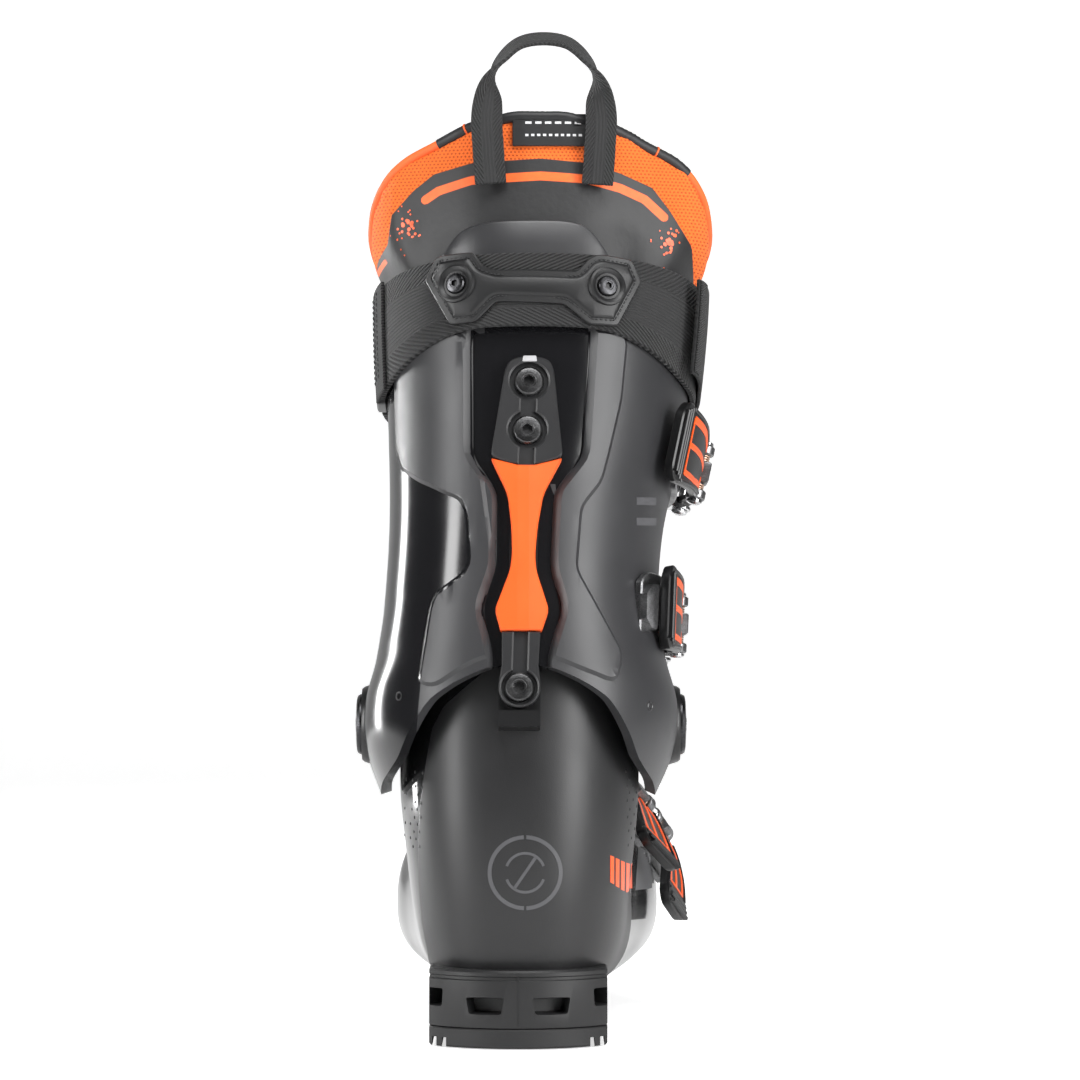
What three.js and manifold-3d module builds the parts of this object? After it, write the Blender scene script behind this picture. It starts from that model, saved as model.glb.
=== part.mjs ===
// A four-buckle alpine ski boot for the right foot, with an overlap shell, a hinged cuff, a rear spine,
// a power strap and a removable liner. Millimetres, +Z up, +Y towards the toe, +X to the outer side of
// the foot. The origin is on the ground under the middle of the heel lug.
import * as THREE from "three";
import { mergeVertices } from "three/addons/utils/BufferGeometryUtils.js";
import Module from "manifold-3d";

const wasm = await Module();
wasm.setup();

// ---------------------------------------------------------------- driving dimensions

// Sole: the standard interface that a binding grips.
const soleLength = 306;
const soleWidth = 69;
const heelBack = -38;
const toeFront = heelBack + soleLength;
const heelLedge = 30;
const toeLedge = 19;
const padThickness = 7.6;
const heelLugLength = 76;
const toeLugLength = 64;
const heelLugRadius = 42;
const toeLugRadius = 41;
const rockerRise = 4.5;
const rockerLength = 46;

// Lower shell.
const shellWall = 5;
const archHeight = 13;
const flapGap = 0.8;
const boardThickness = 5.5;

// Ankle pivots and cuff. The cuff is drawn upright in its own frame, which leans forward about the pivots.
const pivotY = 38;
const pivotZ = 122;
const forwardLean = THREE.MathUtils.degToRad(14);
const cuffWall = 4.5;
const cuffBack = 82;
const canting = 0.03;
const pivotPadRadius = 15;
const pivotPadHeight = 1.2;
const pivotBossRadius = 12;
const pivotBoltRadius = 12;
const pivotShankRadius = 7;

// Spine at the back of the cuff.
const spineThickness = 3.6;
const spineRecess = 2.7;
const spineBoltRadius = 6.2;
const spineShankRadius = 3;
const channelHalfWidth = 10;
const sliderHalfWidth = 8;

// Power strap, liner and soft trim.
const strapThickness = 2.4;
const linerWall = 7;
const footLinerWall = 5;
const spoilerThickness = 3;
const webbingWidth = 12.5;
const webbingThickness = 2;

// Buckles.
const leverThickness = 3.4;
const axleRadius = 1.7;
const knuckleRadius = 4;
const toothPitch = 8;
const toothHeight = 2.6;

// Clearances: faces that rest on each other, and parts that turn.
const seat = 0.3;
const running = 0.35;

// Edges shorter than this are dropped from the finished bodies.
const meshTolerance = 0.02;

// ---------------------------------------------------------------- geometry helpers

const vec = (x, y, z) => new THREE.Vector3(x, y, z);
const { clamp, lerp, smoothstep, degToRad } = THREE.MathUtils;

/** A three.js geometry as a manifold-3d solid. Faces that collapsed to a line are left out. */
function solid(geometry) {
  const bare = new THREE.BufferGeometry();
  bare.setAttribute("position", geometry.getAttribute("position").clone());
  if (geometry.index) bare.setIndex(geometry.index.clone());
  const merged = mergeVertices(bare, 1e-3);
  const triangles = [];
  const index = merged.index.array;
  for (let i = 0; i < index.length; i += 3) {
    const [a, b, c] = [index[i], index[i + 1], index[i + 2]];
    if (a !== b && b !== c && c !== a) triangles.push(a, b, c);
  }
  const mesh = new wasm.Mesh({
    numProp: 3,
    vertProperties: new Float32Array(merged.attributes.position.array),
    triVerts: new Uint32Array(triangles),
  });
  const made = new wasm.Manifold(mesh);
  if (made.volume() >= 0) return made;
  for (let i = 0; i < triangles.length; i += 3) triangles.splice(i, 3, triangles[i], triangles[i + 2], triangles[i + 1]);
  return new wasm.Manifold(
    new wasm.Mesh({ numProp: 3, vertProperties: mesh.vertProperties, triVerts: new Uint32Array(triangles) }),
  );
}

/** A manifold-3d solid as a three.js geometry, without the slivers that cutting leaves behind. */
function geometryOf(made) {
  const mesh = made.simplify(meshTolerance).getMesh();
  const positions = new Float32Array(mesh.numVert * 3);
  for (let i = 0; i < mesh.numVert; i++) {
    positions.set(mesh.vertProperties.subarray(i * mesh.numProp, i * mesh.numProp + 3), i * 3);
  }
  const geometry = new THREE.BufferGeometry();
  geometry.setAttribute("position", new THREE.BufferAttribute(positions, 3));
  geometry.setIndex(new THREE.BufferAttribute(new Uint32Array(mesh.triVerts), 1));
  geometry.computeVertexNormals();
  return geometry;
}

/** Several solids joined into one. */
const join = (first, ...others) => others.reduce((sum, other) => sum.add(other), first);

/** A solid with others cut out of it. */
const cut = (first, ...others) => others.reduce((rest, other) => rest.subtract(other), first);

/** A box between two corners. */
function block(low, high) {
  const size = high.clone().sub(low);
  const middle = low.clone().add(high).multiplyScalar(0.5);
  return solid(new THREE.BoxGeometry(size.x, size.y, size.z).translate(middle.x, middle.y, middle.z));
}

/** A round bar from one point to another. */
function bar(from, to, radius, sides = 20, endRadius = radius) {
  const along = to.clone().sub(from);
  const geometry = new THREE.CylinderGeometry(endRadius, radius, along.length(), sides);
  geometry.applyQuaternion(new THREE.Quaternion().setFromUnitVectors(vec(0, 1, 0), along.clone().normalize()));
  const middle = from.clone().add(to).multiplyScalar(0.5);
  return solid(geometry.translate(middle.x, middle.y, middle.z));
}

/** A flat outline pulled upwards between two heights. */
function slab(shape, low, high, curveSegments = 12) {
  const geometry = new THREE.ExtrudeGeometry(shape, { depth: high - low, bevelEnabled: false, curveSegments });
  return solid(geometry.translate(0, 0, low));
}

/** A solid skinned through rings of points. Each end is closed by a fan around the middle of its ring. */
function skinned(rings) {
  const sides = rings[0].length;
  const middle = (ring) => ring.reduce((sum, point) => sum.add(point), vec(0, 0, 0)).divideScalar(sides);
  const points = [...rings.flat(), middle(rings[0]), middle(rings[rings.length - 1])];
  const startHub = rings.length * sides;
  const endHub = startHub + 1;
  const last = (rings.length - 1) * sides;
  const index = [];
  for (let i = 0; i < sides; i++) {
    const next = (i + 1) % sides;
    for (let j = 0; j < last; j += sides) {
      index.push(j + i, j + next, j + next + sides, j + i, j + next + sides, j + i + sides);
    }
    index.push(startHub, next, i, endHub, last + i, last + next);
  }
  const geometry = new THREE.BufferGeometry().setFromPoints(points);
  geometry.setIndex(index);
  return solid(geometry);
}

/**
 * The closed body of a curved sheet. outer and inner give the point of each face at a column and row. From
 * row joinedFrom on, the first and last columns are one, so that the sheet becomes a ring there.
 */
function sheet(columns, rows, outer, inner, joinedFrom = rows + 1) {
  const positions = [];
  const width = columns + 1;
  for (const face of [outer, inner]) {
    for (let j = 0; j <= rows; j++) {
      for (let i = 0; i <= columns; i++) {
        const point = face(i === columns && j >= joinedFrom ? 0 : i, j);
        positions.push(point.x, point.y, point.z);
      }
    }
  }
  const at = (face, i, j) => face * width * (rows + 1) + j * width + i;
  const index = [];
  const quad = (a, b, c, d) => index.push(a, b, c, a, c, d);
  for (let j = 0; j < rows; j++) {
    for (let i = 0; i < columns; i++) {
      quad(at(0, i, j), at(0, i + 1, j), at(0, i + 1, j + 1), at(0, i, j + 1));
      quad(at(1, i, j), at(1, i, j + 1), at(1, i + 1, j + 1), at(1, i + 1, j));
    }
    if (j < joinedFrom) {
      quad(at(0, 0, j), at(0, 0, j + 1), at(1, 0, j + 1), at(1, 0, j));
      quad(at(0, columns, j), at(1, columns, j), at(1, columns, j + 1), at(0, columns, j + 1));
    }
  }
  for (let i = 0; i < columns; i++) {
    quad(at(0, i, 0), at(1, i, 0), at(1, i + 1, 0), at(0, i + 1, 0));
    quad(at(0, i, rows), at(0, i + 1, rows), at(1, i + 1, rows), at(1, i, rows));
  }
  const geometry = new THREE.BufferGeometry();
  geometry.setAttribute("position", new THREE.Float32BufferAttribute(positions, 3));
  geometry.setIndex(index);
  return solid(geometry);
}

/** A smooth curve through values that are evenly spaced from 0 to 1. */
function through(values, share) {
  const last = values.length - 1;
  const place = clamp(share, 0, 1) * last;
  const i = Math.min(Math.floor(place), last - 1);
  const t = place - i;
  const [p1, p2] = [values[i], values[i + 1]];
  const p0 = i > 0 ? values[i - 1] : 2 * p1 - p2;
  const p3 = i + 2 <= last ? values[i + 2] : 2 * p2 - p1;
  return 0.5 * (2 * p1 + (p2 - p0) * t + (2 * p0 - 5 * p1 + 4 * p2 - p3) * t * t + (3 * p1 - p0 - 3 * p2 + p3) * t ** 3);
}

/** A smooth value at a height, from a list of [height, value] pairs. */
function profile(pairs, height) {
  if (height <= pairs[0][0]) return pairs[0][1];
  for (let i = 1; i < pairs.length; i++) {
    if (height <= pairs[i][0]) {
      const share = (height - pairs[i - 1][0]) / (pairs[i][0] - pairs[i - 1][0]);
      const values = pairs.map((pair) => pair[1]);
      return through(values, (i - 1 + share) / (pairs.length - 1));
    }
  }
  return pairs[pairs.length - 1][1];
}

/** The cosine and sine of an angle, squared off towards a rounded rectangle as the exponent grows above 2. */
function squared(angle, exponent) {
  const shape = (value) => Math.sign(value) * Math.abs(value) ** (2 / exponent);
  return [shape(Math.cos(angle)), shape(Math.sin(angle))];
}

// ---------------------------------------------------------------- skin of the lower shell

// Stations from the collar down the heel and along the sole to the toe. Each names a point of the heel or sole
// line and the point of the instep line across from it, as [share of the sole length, height], and the half
// widths to the inner and outer side.
const stations = [
  { sole: [0.052, 168], instep: [0.37, 150], inner: 41, outer: 42 },
  { sole: [0.03, 146], instep: [0.406, 138], inner: 44, outer: 44.5 },
  { sole: [0.016, 114], instep: [0.45, 127], inner: 46.5, outer: 47 },
  { sole: [0.006, 80], instep: [0.49, 119], inner: 47, outer: 47.5 },
  { sole: [0.012, 48], instep: [0.526, 114], inner: 45, outer: 46 },
  { sole: [0.04, 21], instep: [0.558, 109], inner: 43, outer: 44 },
  { sole: [0.125, archHeight], instep: [0.592, 104], inner: 42, outer: 45 },
  { sole: [0.27, archHeight], instep: [0.63, 99], inner: 43, outer: 49 },
  { sole: [0.43, archHeight], instep: [0.676, 93], inner: 46.5, outer: 54 },
  { sole: [0.58, archHeight], instep: [0.73, 87], inner: 51, outer: 57 },
  { sole: [0.71, archHeight], instep: [0.795, 80], inner: 52, outer: 57.5 },
  { sole: [0.83, archHeight + 1], instep: [0.866, 71], inner: 47, outer: 50 },
  { sole: [0.92, archHeight + 4], instep: [0.932, 58], inner: 36, outer: 37 },
  { sole: [0.965, archHeight + 10], instep: [0.968, 44], inner: 22, outer: 22 },
];
const toeTip = vec(0, heelBack + soleLength * 0.98, 33);
const footSquareness = 2.5;

/** The heel or sole line, the instep line and the half widths at a share of the way from collar to toe. */
function station(share, inset) {
  const read = (pick) => through(stations.map(pick), share);
  const line = (name, s) => {
    const values = (k) => through(stations.map((one) => one[name][k]), s);
    return new THREE.Vector2(heelBack + soleLength * values(0), values(1));
  };
  const inwards = (name, side) => {
    const step = line(name, Math.min(1, share + 0.01)).sub(line(name, Math.max(0, share - 0.01))).normalize();
    return new THREE.Vector2(-step.y * side, step.x * side);
  };
  const sole = line("sole", share).addScaledVector(inwards("sole", 1), inset);
  const instep = line("instep", share).addScaledVector(inwards("instep", -1), inset);
  return {
    sole,
    instep,
    inner: read((one) => one.inner) - inset,
    outer: read((one) => one.outer) - inset,
  };
}

/** A point of the lower shell's skin. angle is 0 on the heel and sole line and ±180° on the instep line. */
function footSkin(share, angle, inset = 0) {
  if (share > 1) return toeTip.clone().setY(toeTip.y - inset);
  const { sole, instep, inner, outer } = station(share, inset);
  const [c, s] = squared(angle, footSquareness);
  const up = ((1 - c) / 2) ** lerp(1, 1.25, smoothstep(share, 0.4, 0.8));
  const across = s * (s > 0 ? outer : inner);
  return vec(across, lerp(sole.x, instep.x, up), lerp(sole.y, instep.y, up));
}

// ---------------------------------------------------------------- skin of the cuff

// Half widths of the cuff to the inner and outer side, and its front, by height above the pivots.
const cuffInner = [[-30, 54], [-12, 60.5], [4, 61.5], [20, 58], [40, 55.5], [75, 54.5], [110, 56], [150, 59], [190, 61]];
const cuffOuter = [[-30, 54], [-12, 61], [4, 62], [20, 57.5], [40, 53.5], [75, 54.5], [110, 61], [150, 65], [190, 66]];
const cuffFront = [[-30, 62], [0, 60], [40, 56], [94, 56], [146, 59], [190, 61]];
const cuffSquareness = 2.3;

/** The middle of the boot's back, which leans to the outer side as it rises. */
const middleAt = (height) => 0.6 + canting * height;

/** A point of the cuff's skin in the cuff's own frame. turn is 0 at the back and grows to the outer side. */
function cuffSkin(turn, height, out = 0, sides = [cuffInner, cuffOuter], back = cuffBack, front = cuffFront) {
  const [c, s] = squared(turn, cuffSquareness);
  const half = profile(s > 0 ? sides[1] : sides[0], height) + out;
  const depth = (back + profile(front, height)) / 2;
  return vec(middleAt(height) + s * half, depth - back - c * (depth + out), height);
}

/** Where the cuff's skin stands furthest out at the height of a pivot. */
const pivotReach = (side) => middleAt(0) + side * profile(side < 0 ? cuffInner : cuffOuter, 0);

/** How far the outer flap lies under the inner one at the front. */
function flapDrop(turn) {
  const share = smoothstep(turn, degToRad(128), degToRad(147));
  return -(cuffWall + flapGap) * share;
}

// Turns, in degrees, of the cuff's columns: closer together where it bends more.
const cuffStops = [-208, -198, -188, -178, -168, -158, -148, -137, -127, -117, -105, -93, -81, -70, -58, -47, -36, -28, -20, -12, 0,
  12, 20, 28, 36, 47, 58, 70, 81, 93, 105, 117, 127, 137, 147, 157, 168, 179, 190].map(degToRad);

// The same columns once round the boot, following whichever flap is on top.
const ringStops = [
  ...cuffStops.filter((turn) => turn > -degToRad(0.1) && turn < degToRad(150)),
  ...cuffStops.filter((turn) => turn < -degToRad(0.1)).map((turn) => turn + 2 * Math.PI),
];

/** A closed body with the cuff's skin, grown or shrunk, that other parts are cut with. */
function cuffCore(out, low = -60, high = 200) {
  const rings = [];
  for (let height = low; height <= high; height += 13) rings.push(ringStops.map((turn) => cuffSkin(turn, height, out)));
  return skinned(rings);
}

// Edges of the cuff by turn in degrees from the back.
const bottomEdge = [[0, 8], [14, 3], [30, -5], [42, -16], [54, -25], [70, -29], [95, -29], [112, -18], [124, 6], [140, 28], [160, 40], [210, 44]];
const topEdge = [[0, 164], [40, 164], [80, 160], [120, 154], [180, 150], [210, 150]];
const degreesFromBack = (turn) => Math.abs(THREE.MathUtils.radToDeg(turn));

// ---------------------------------------------------------------- assembly

const boot = new THREE.Group();
const leaning = new THREE.Group();
leaning.position.set(0, pivotY, pivotZ);
leaning.rotation.x = -forwardLean;
boot.add(leaning);

/** Adds a solid as a named mesh with its own material. */
function place(parent, name, made, [color, roughness, metalness]) {
  const material = new THREE.MeshStandardMaterial({ color, roughness, metalness });
  const mesh = new THREE.Mesh(geometryOf(made), material);
  mesh.name = name;
  parent.add(mesh);
  return mesh;
}

const finish = {
  shell: [0x33333a, 0.45, 0],
  cuff: [0x3c3c40, 0.42, 0],
  rubber: [0x1c1c1e, 0.85, 0],
  grey: [0x6e6e70, 0.5, 0.2],
  orange: [0xff6a1f, 0.5, 0],
  steel: [0xb9b9bd, 0.3, 1],
  darkSteel: [0x3a3a3c, 0.4, 0.9],
  webbing: [0x151515, 0.9, 0],
  liner: [0x2c2c2e, 0.85, 0],
  board: [0x404448, 0.7, 0],
};

// ---------------------------------------------------------------- lower shell

/** Outline of the heel lug seen from above, held back from its true edge by a margin. */
function heelOutline(margin = 0) {
  const half = soleWidth / 2 - margin;
  const radius = heelLugRadius - margin;
  const centre = heelBack + heelLugRadius;
  const corner = Math.asin(half / radius);
  const shape = new THREE.Shape();
  shape.moveTo(half, heelBack + heelLugLength - margin);
  shape.lineTo(-half, heelBack + heelLugLength - margin);
  shape.absarc(0, centre, radius, -Math.PI / 2 - corner, -Math.PI / 2 + corner, false);
  return shape;
}

/** Outline of the toe lug seen from above. */
function toeOutline(margin = 0) {
  const half = soleWidth / 2 - margin;
  const radius = toeLugRadius - margin;
  const centre = toeFront - toeLugRadius;
  const corner = Math.asin(half / radius);
  const shape = new THREE.Shape();
  shape.moveTo(-half, toeFront - toeLugLength + margin);
  shape.lineTo(half, toeFront - toeLugLength + margin);
  shape.absarc(0, centre, radius, Math.PI / 2 - corner, Math.PI / 2 + corner, false);
  return shape;
}

// Rows of the lower shell, and how far each flap laps past the instep line.
const footRows = 20;
const footColumns = 28;
const flapEndRow = 12;
const rowShare = (j) => (j < footRows ? j / (footRows - 1) : 1.1);
const fullTurn = (i) => lerp(-Math.PI, Math.PI, i / footColumns);

/** How far the flaps lap past the instep line. Just short of where the shell closes they part by a hair. */
function lapAngle(j) {
  if (j >= flapEndRow) return 0;
  return degToRad(16) * (1 - smoothstep(j, flapEndRow - 8, flapEndRow - 3)) - degToRad(0.5);
}

/** Angle of a column of the lower shell. Both flaps run past the instep line. */
function columnAngle(i, j) {
  return lerp(-Math.PI - lapAngle(j), Math.PI + lapAngle(j), i / footColumns);
}

/** The outer flap passes under the inner one. */
function underFlap(angle, j) {
  const share = smoothstep(angle, degToRad(138), degToRad(160));
  return (shellWall + flapGap) * share * (1 - smoothstep(j, flapEndRow - 3, flapEndRow));
}

function footShell(from, to) {
  const face = (inset) => (i, j) => {
    const angle = columnAngle(i, j);
    return footSkin(rowShare(j), angle, underFlap(angle, j) + inset);
  };
  return sheet(footColumns, footRows, face(from), face(to), flapEndRow);
}

/** How much further in the flaps force whatever lies inside them. */
function insideFlaps(angle, j) {
  const share = smoothstep(Math.abs(angle), degToRad(122), degToRad(150));
  return (shellWall + flapGap) * share * (1 - smoothstep(j, flapEndRow - 3, flapEndRow + 1));
}

/** A closed body with the foot's skin, held in by an inset, for making and cutting what lies inside. */
function footCore(inset, firstRow = 0, clearOfFlaps = false) {
  const rings = [];
  for (let j = firstRow; j < footRows; j++) {
    const ring = [];
    for (let i = 0; i < footColumns; i++) {
      const extra = clearOfFlaps ? insideFlaps(fullTurn(i), j) : 0;
      ring.push(footSkin(rowShare(j), fullTurn(i), inset + extra));
    }
    rings.push(ring);
  }
  return skinned(rings);
}

/** Everything above a height. */
const above = (height) => block(vec(-200, -200, height), vec(200, 400, 400));

/** A trapezoid window through the wall of the heel lug, cut towards its middle. */
function lugWindow(x, low, high, topHalf, bottomHalf, depth) {
  const shape = new THREE.Shape();
  shape.moveTo(-bottomHalf, low);
  shape.lineTo(bottomHalf, low);
  shape.lineTo(topHalf, high);
  shape.lineTo(-topHalf, high);
  const geometry = new THREE.ExtrudeGeometry(shape, { depth, bevelEnabled: false });
  geometry.rotateX(Math.PI / 2);
  const centre = heelBack + heelLugRadius;
  const turn = Math.asin(x / heelLugRadius);
  geometry.translate(0, -heelLugRadius - 2 + depth, 0).rotateZ(turn).translate(0, centre, 0);
  return solid(geometry);
}

function lowerShell() {
  const core = footCore(shellWall);
  const heelBlock = cut(slab(heelOutline(), padThickness + seat, heelLedge), core);
  const toeBlock = cut(slab(toeOutline(), padThickness + seat, toeLedge), core);
  const arch = cut(
    block(
      vec(-soleWidth * 0.38, heelBack + heelLugLength - 2, padThickness + 3),
      vec(soleWidth * 0.38, toeFront - toeLugLength + 2, archHeight + 6),
    ),
    core,
  );
  let made = join(footShell(0, shellWall), heelBlock, toeBlock, arch);
  // Bosses that the cuff turns on.
  for (const side of [-1, 1]) {
    const boss = bar(
      vec(side * 38, pivotY, pivotZ),
      vec(pivotReach(side) - side * (cuffWall + seat), pivotY, pivotZ),
      pivotBossRadius,
      24,
    );
    made = join(made, cut(boss, core));
    made = cut(made, bar(vec(side * 30, pivotY, pivotZ), vec(side * 80, pivotY, pivotZ), pivotShankRadius + running, 20));
  }
  // The channel that the foot of the spine slides in, concentric with the pivots.
  const floorRadius = Math.hypot(pivotY - heelBack, 16) - 7.5;
  const drum = bar(vec(-40, pivotY, pivotZ), vec(40, pivotY, pivotZ), floorRadius, 64);
  const channel = cut(
    block(vec(-channelHalfWidth, heelBack - 10, pivotZ - 1), vec(channelHalfWidth, pivotY - 40, pivotZ + 44)),
    drum,
  );
  made = cut(made, channel);
  for (const side of [-1, 1]) {
    made = cut(made, lugWindow(side * 13, 13.4, 19.4, 7.6, 6.4, 7));
    made = cut(made, lugWindow(side * 33, 15.8, 22.2, 5.6, 4.8, 7));
  }
  return made;
}

// ---------------------------------------------------------------- soles

/** Side view of the toe pad: flat, with a rocker that lifts towards the tip. */
function rockerBody() {
  const shape = new THREE.Shape();
  const start = toeFront - rockerLength;
  shape.moveTo(toeFront - toeLugLength - 4, 0);
  shape.lineTo(start, 0);
  shape.quadraticCurveTo(toeFront - rockerLength * 0.35, 0.4, toeFront + 4, rockerRise + 0.8);
  shape.lineTo(toeFront + 4, padThickness);
  shape.lineTo(toeFront - toeLugLength - 4, padThickness);
  const geometry = new THREE.ExtrudeGeometry(shape, { depth: soleWidth + 20, bevelEnabled: false, curveSegments: 8 });
  geometry.applyMatrix4(new THREE.Matrix4().makeBasis(vec(0, 1, 0), vec(0, 0, 1), vec(1, 0, 0)));
  return solid(geometry.translate(-soleWidth / 2 - 10, 0, 0));
}

const screwRadius = 4.2;
const screwSpots = {
  heel_sole_screw_front: vec(0, heelBack + heelLugLength - 14, 0),
  heel_sole_screw_back: vec(0, heelBack + 18, 0),
  toe_sole_screw_inner: vec(-19, toeFront - toeLugLength + 14, 0),
  toe_sole_screw_outer: vec(19, toeFront - toeLugLength + 14, 0),
};
const screwHeadLow = 1.6;

/** A countersunk sole screw with a hexagon socket, driven up from the ground side. */
function soleScrew(spot) {
  const low = spot.clone().setZ(screwHeadLow);
  const shoulder = spot.clone().setZ(screwHeadLow + 2.6);
  const head = bar(low, shoulder, screwRadius, 14);
  const shank = bar(shoulder.clone().setZ(shoulder.z - 0.2), spot.clone().setZ(padThickness + 5), 2.2, 10);
  const socket = bar(low.clone().setZ(low.z - 1), low.clone().setZ(low.z + 1.5), 1.9, 6);
  return cut(join(head, shank), socket);
}

/** The hole a sole screw sits in, with its clearance. */
function screwHole(spot) {
  const wide = bar(spot.clone().setZ(-1), spot.clone().setZ(screwHeadLow + 2.6 + seat), screwRadius + seat, 14);
  return join(wide, bar(spot.clone().setZ(0), spot.clone().setZ(padThickness + 5 + seat), 2.2 + seat, 10));
}

function heelSole() {
  let made = slab(heelOutline(), 0, padThickness);
  for (const side of [-1, 1]) {
    for (const across of [0.84, 0.94]) {
      const x = side * across * (soleWidth / 2);
      made = cut(made, block(vec(x - 0.8, heelBack, -1), vec(x + 0.8, heelBack + heelLugLength + 1, 3.6)));
    }
  }
  made = cut(made, block(vec(-soleWidth, heelBack + 44, -1), vec(soleWidth, heelBack + 47, 3)));
  return cut(made, screwHole(screwSpots.heel_sole_screw_front), screwHole(screwSpots.heel_sole_screw_back));
}

function toeSole() {
  let made = slab(toeOutline(), -1, padThickness).intersect(rockerBody());
  made = cut(made, block(vec(-soleWidth, toeFront - rockerLength - 3, -1), vec(soleWidth, toeFront - rockerLength, 3)));
  return cut(made, screwHole(screwSpots.toe_sole_screw_inner), screwHole(screwSpots.toe_sole_screw_outer));
}

const holesInShell = Object.values(screwSpots).map(screwHole);
place(boot, "lower_shell", cut(lowerShell(), ...holesInShell), finish.shell);
place(boot, "heel_sole", heelSole(), finish.rubber);
place(boot, "toe_sole", toeSole(), finish.rubber);
for (const [name, spot] of Object.entries(screwSpots)) place(boot, name, soleScrew(spot), finish.darkSteel);

// ---------------------------------------------------------------- inside the lower shell

const boardLow = archHeight + shellWall + seat;
const board = footCore(shellWall + seat).intersect(
  block(vec(-60, heelBack + 8, boardLow), vec(60, toeFront - 34, boardLow + boardThickness)),
);
place(boot, "boot_board", board, finish.board);

// The foot part of the liner: a soft sock on the boot board, open at the ankle.
const linerOut = shellWall + 2 * seat;
const linerLow = boardLow + boardThickness + seat;
const footLiner = cut(
  footCore(linerOut, 1, true).intersect(above(linerLow)),
  footCore(linerOut + footLinerWall, 0, true).intersect(above(linerLow + footLinerWall)),
);
place(boot, "liner_foot", footLiner, finish.liner);

const footbedLow = linerLow + footLinerWall + seat;
const footbed = footCore(linerOut + footLinerWall + 2 * seat, 0, true).intersect(
  block(vec(-60, heelBack + 18, footbedLow), vec(60, toeFront - 46, footbedLow + 3)),
);
place(boot, "footbed", footbed, finish.board);

// ---------------------------------------------------------------- cuff

/** The middle of the back is pressed in a little behind the spine, so that the wall keeps its strength. */
const backSwell = (turn) => 1.2 * (1 - smoothstep(Math.abs(turn), degToRad(18), degToRad(36)));

function cuffBody() {
  const rows = 9;
  const height = (i, j) => {
    const degrees = degreesFromBack(cuffStops[i]);
    return lerp(profile(bottomEdge, degrees), profile(topEdge, degrees), j / rows);
  };
  const outer = (i, j) => cuffSkin(cuffStops[i], height(i, j), flapDrop(cuffStops[i]));
  const inner = (i, j) => cuffSkin(cuffStops[i], height(i, j), flapDrop(cuffStops[i]) - cuffWall - backSwell(cuffStops[i]));
  return sheet(cuffStops.length - 1, rows, outer, inner);
}

const sideName = (side) => (side < 0 ? "inner" : "outer");
let cuff = cuffBody();
for (const side of [-1, 1]) {
  const face = pivotReach(side);
  const pad = bar(vec(face - side * cuffWall, 0, 0), vec(face + side * pivotPadHeight, 0, 0), pivotPadRadius, 28);
  const spotFace = bar(vec(side * 20, 0, 0), vec(face - side * cuffWall, 0, 0), pivotBossRadius + 1.2, 28);
  const hole = bar(vec(side * 30, 0, 0), vec(side * 80, 0, 0), pivotShankRadius + running, 20);
  cuff = cut(join(cuff, pad), spotFace, hole);
}

/** A cuff pivot bolt: a domed head with a socket, and a shank through the cuff into the shell's boss. */
function pivotBolt(side) {
  const face = pivotReach(side) + side * pivotPadHeight;
  const head = bar(vec(face + side * seat, 0, 0), vec(face + side * 3, 0, 0), pivotBoltRadius, 24, pivotBoltRadius - 2);
  const shank = bar(vec(face + side * 1, 0, 0), vec(face - side * 13, 0, 0), pivotShankRadius, 20);
  const socket = bar(vec(face + side * 1, 0, 0), vec(face + side * 5, 0, 0), 3, 6);
  return cut(join(head, shank), socket);
}

// ---------------------------------------------------------------- spine

// Half widths of the recess in the cuff's back by height.
const recessOutline = [[23.5, 136], [21.8, 90], [11.4, 75], [10.8, 45], [15.8, 29], [10.8, 10], [10.8, -20]];

const bracketTop = 128;
const bracketFoot = 88;
const barFoot = 19;
const linkFoot = -3;
const earRadius = 8;
const spineBack = cuffBack - spineRecess + seat;
const headSink = 1.8;
const pressedWall = cuffWall + 1.2 - spineRecess;
const boltHeights = { spine_bolt_top: 118.5, spine_bolt_middle: 99, spine_bolt_lower: linkFoot };

/** An outline in the cuff's upright back plane, pulled backwards off the recess floor. */
function backPlate(shape, from, to) {
  const geometry = new THREE.ExtrudeGeometry(shape, { depth: to - from, bevelEnabled: false, curveSegments: 10 });
  return solid(geometry.rotateX(Math.PI / 2).translate(0, -from, 0));
}

/** Draws a left and right mirrored outline around the middle line from [half width, height] pairs, top first. */
function mirrored(pairs) {
  const shape = new THREE.Shape();
  pairs.forEach(([half, height], k) => {
    const x = middleAt(height) + half;
    if (k === 0) shape.moveTo(x, height);
    else shape.lineTo(x, height);
  });
  for (const [half, height] of [...pairs].reverse()) shape.lineTo(middleAt(height) - half, height);
  return shape;
}

const boltHole = (height) =>
  bar(
    vec(middleAt(height), -spineBack + 20, height),
    vec(middleAt(height), -spineBack - 20, height),
    spineShankRadius + seat,
    16,
  );

/** The round seat that a bolt's head sinks into. */
const headSeat = (height) =>
  bar(
    vec(middleAt(height), -spineBack - spineThickness + headSink, height),
    vec(middleAt(height), -spineBack - 20, height),
    spineBoltRadius + seat,
    20,
  );

const bracketOutline = mirrored([[4.5, bracketTop], [8, bracketTop - 1.8], [9.4, bracketTop - 5], [14, bracketFoot]]);
let bracket = backPlate(bracketOutline, spineBack, spineBack + spineThickness);
bracket = cut(bracket, boltHole(boltHeights.spine_bolt_top), boltHole(boltHeights.spine_bolt_middle));
bracket = cut(bracket, headSeat(boltHeights.spine_bolt_top), headSeat(boltHeights.spine_bolt_middle));

const barOutline = mirrored([
  [13.8, bracketFoot - seat], [6.7, bracketFoot - 15], [4.5, 49], [5, 43], [10.4, 27], [7.9, barFoot],
]);
const spineBar = backPlate(barOutline, spineBack, spineBack + spineThickness + 0.6);

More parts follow.
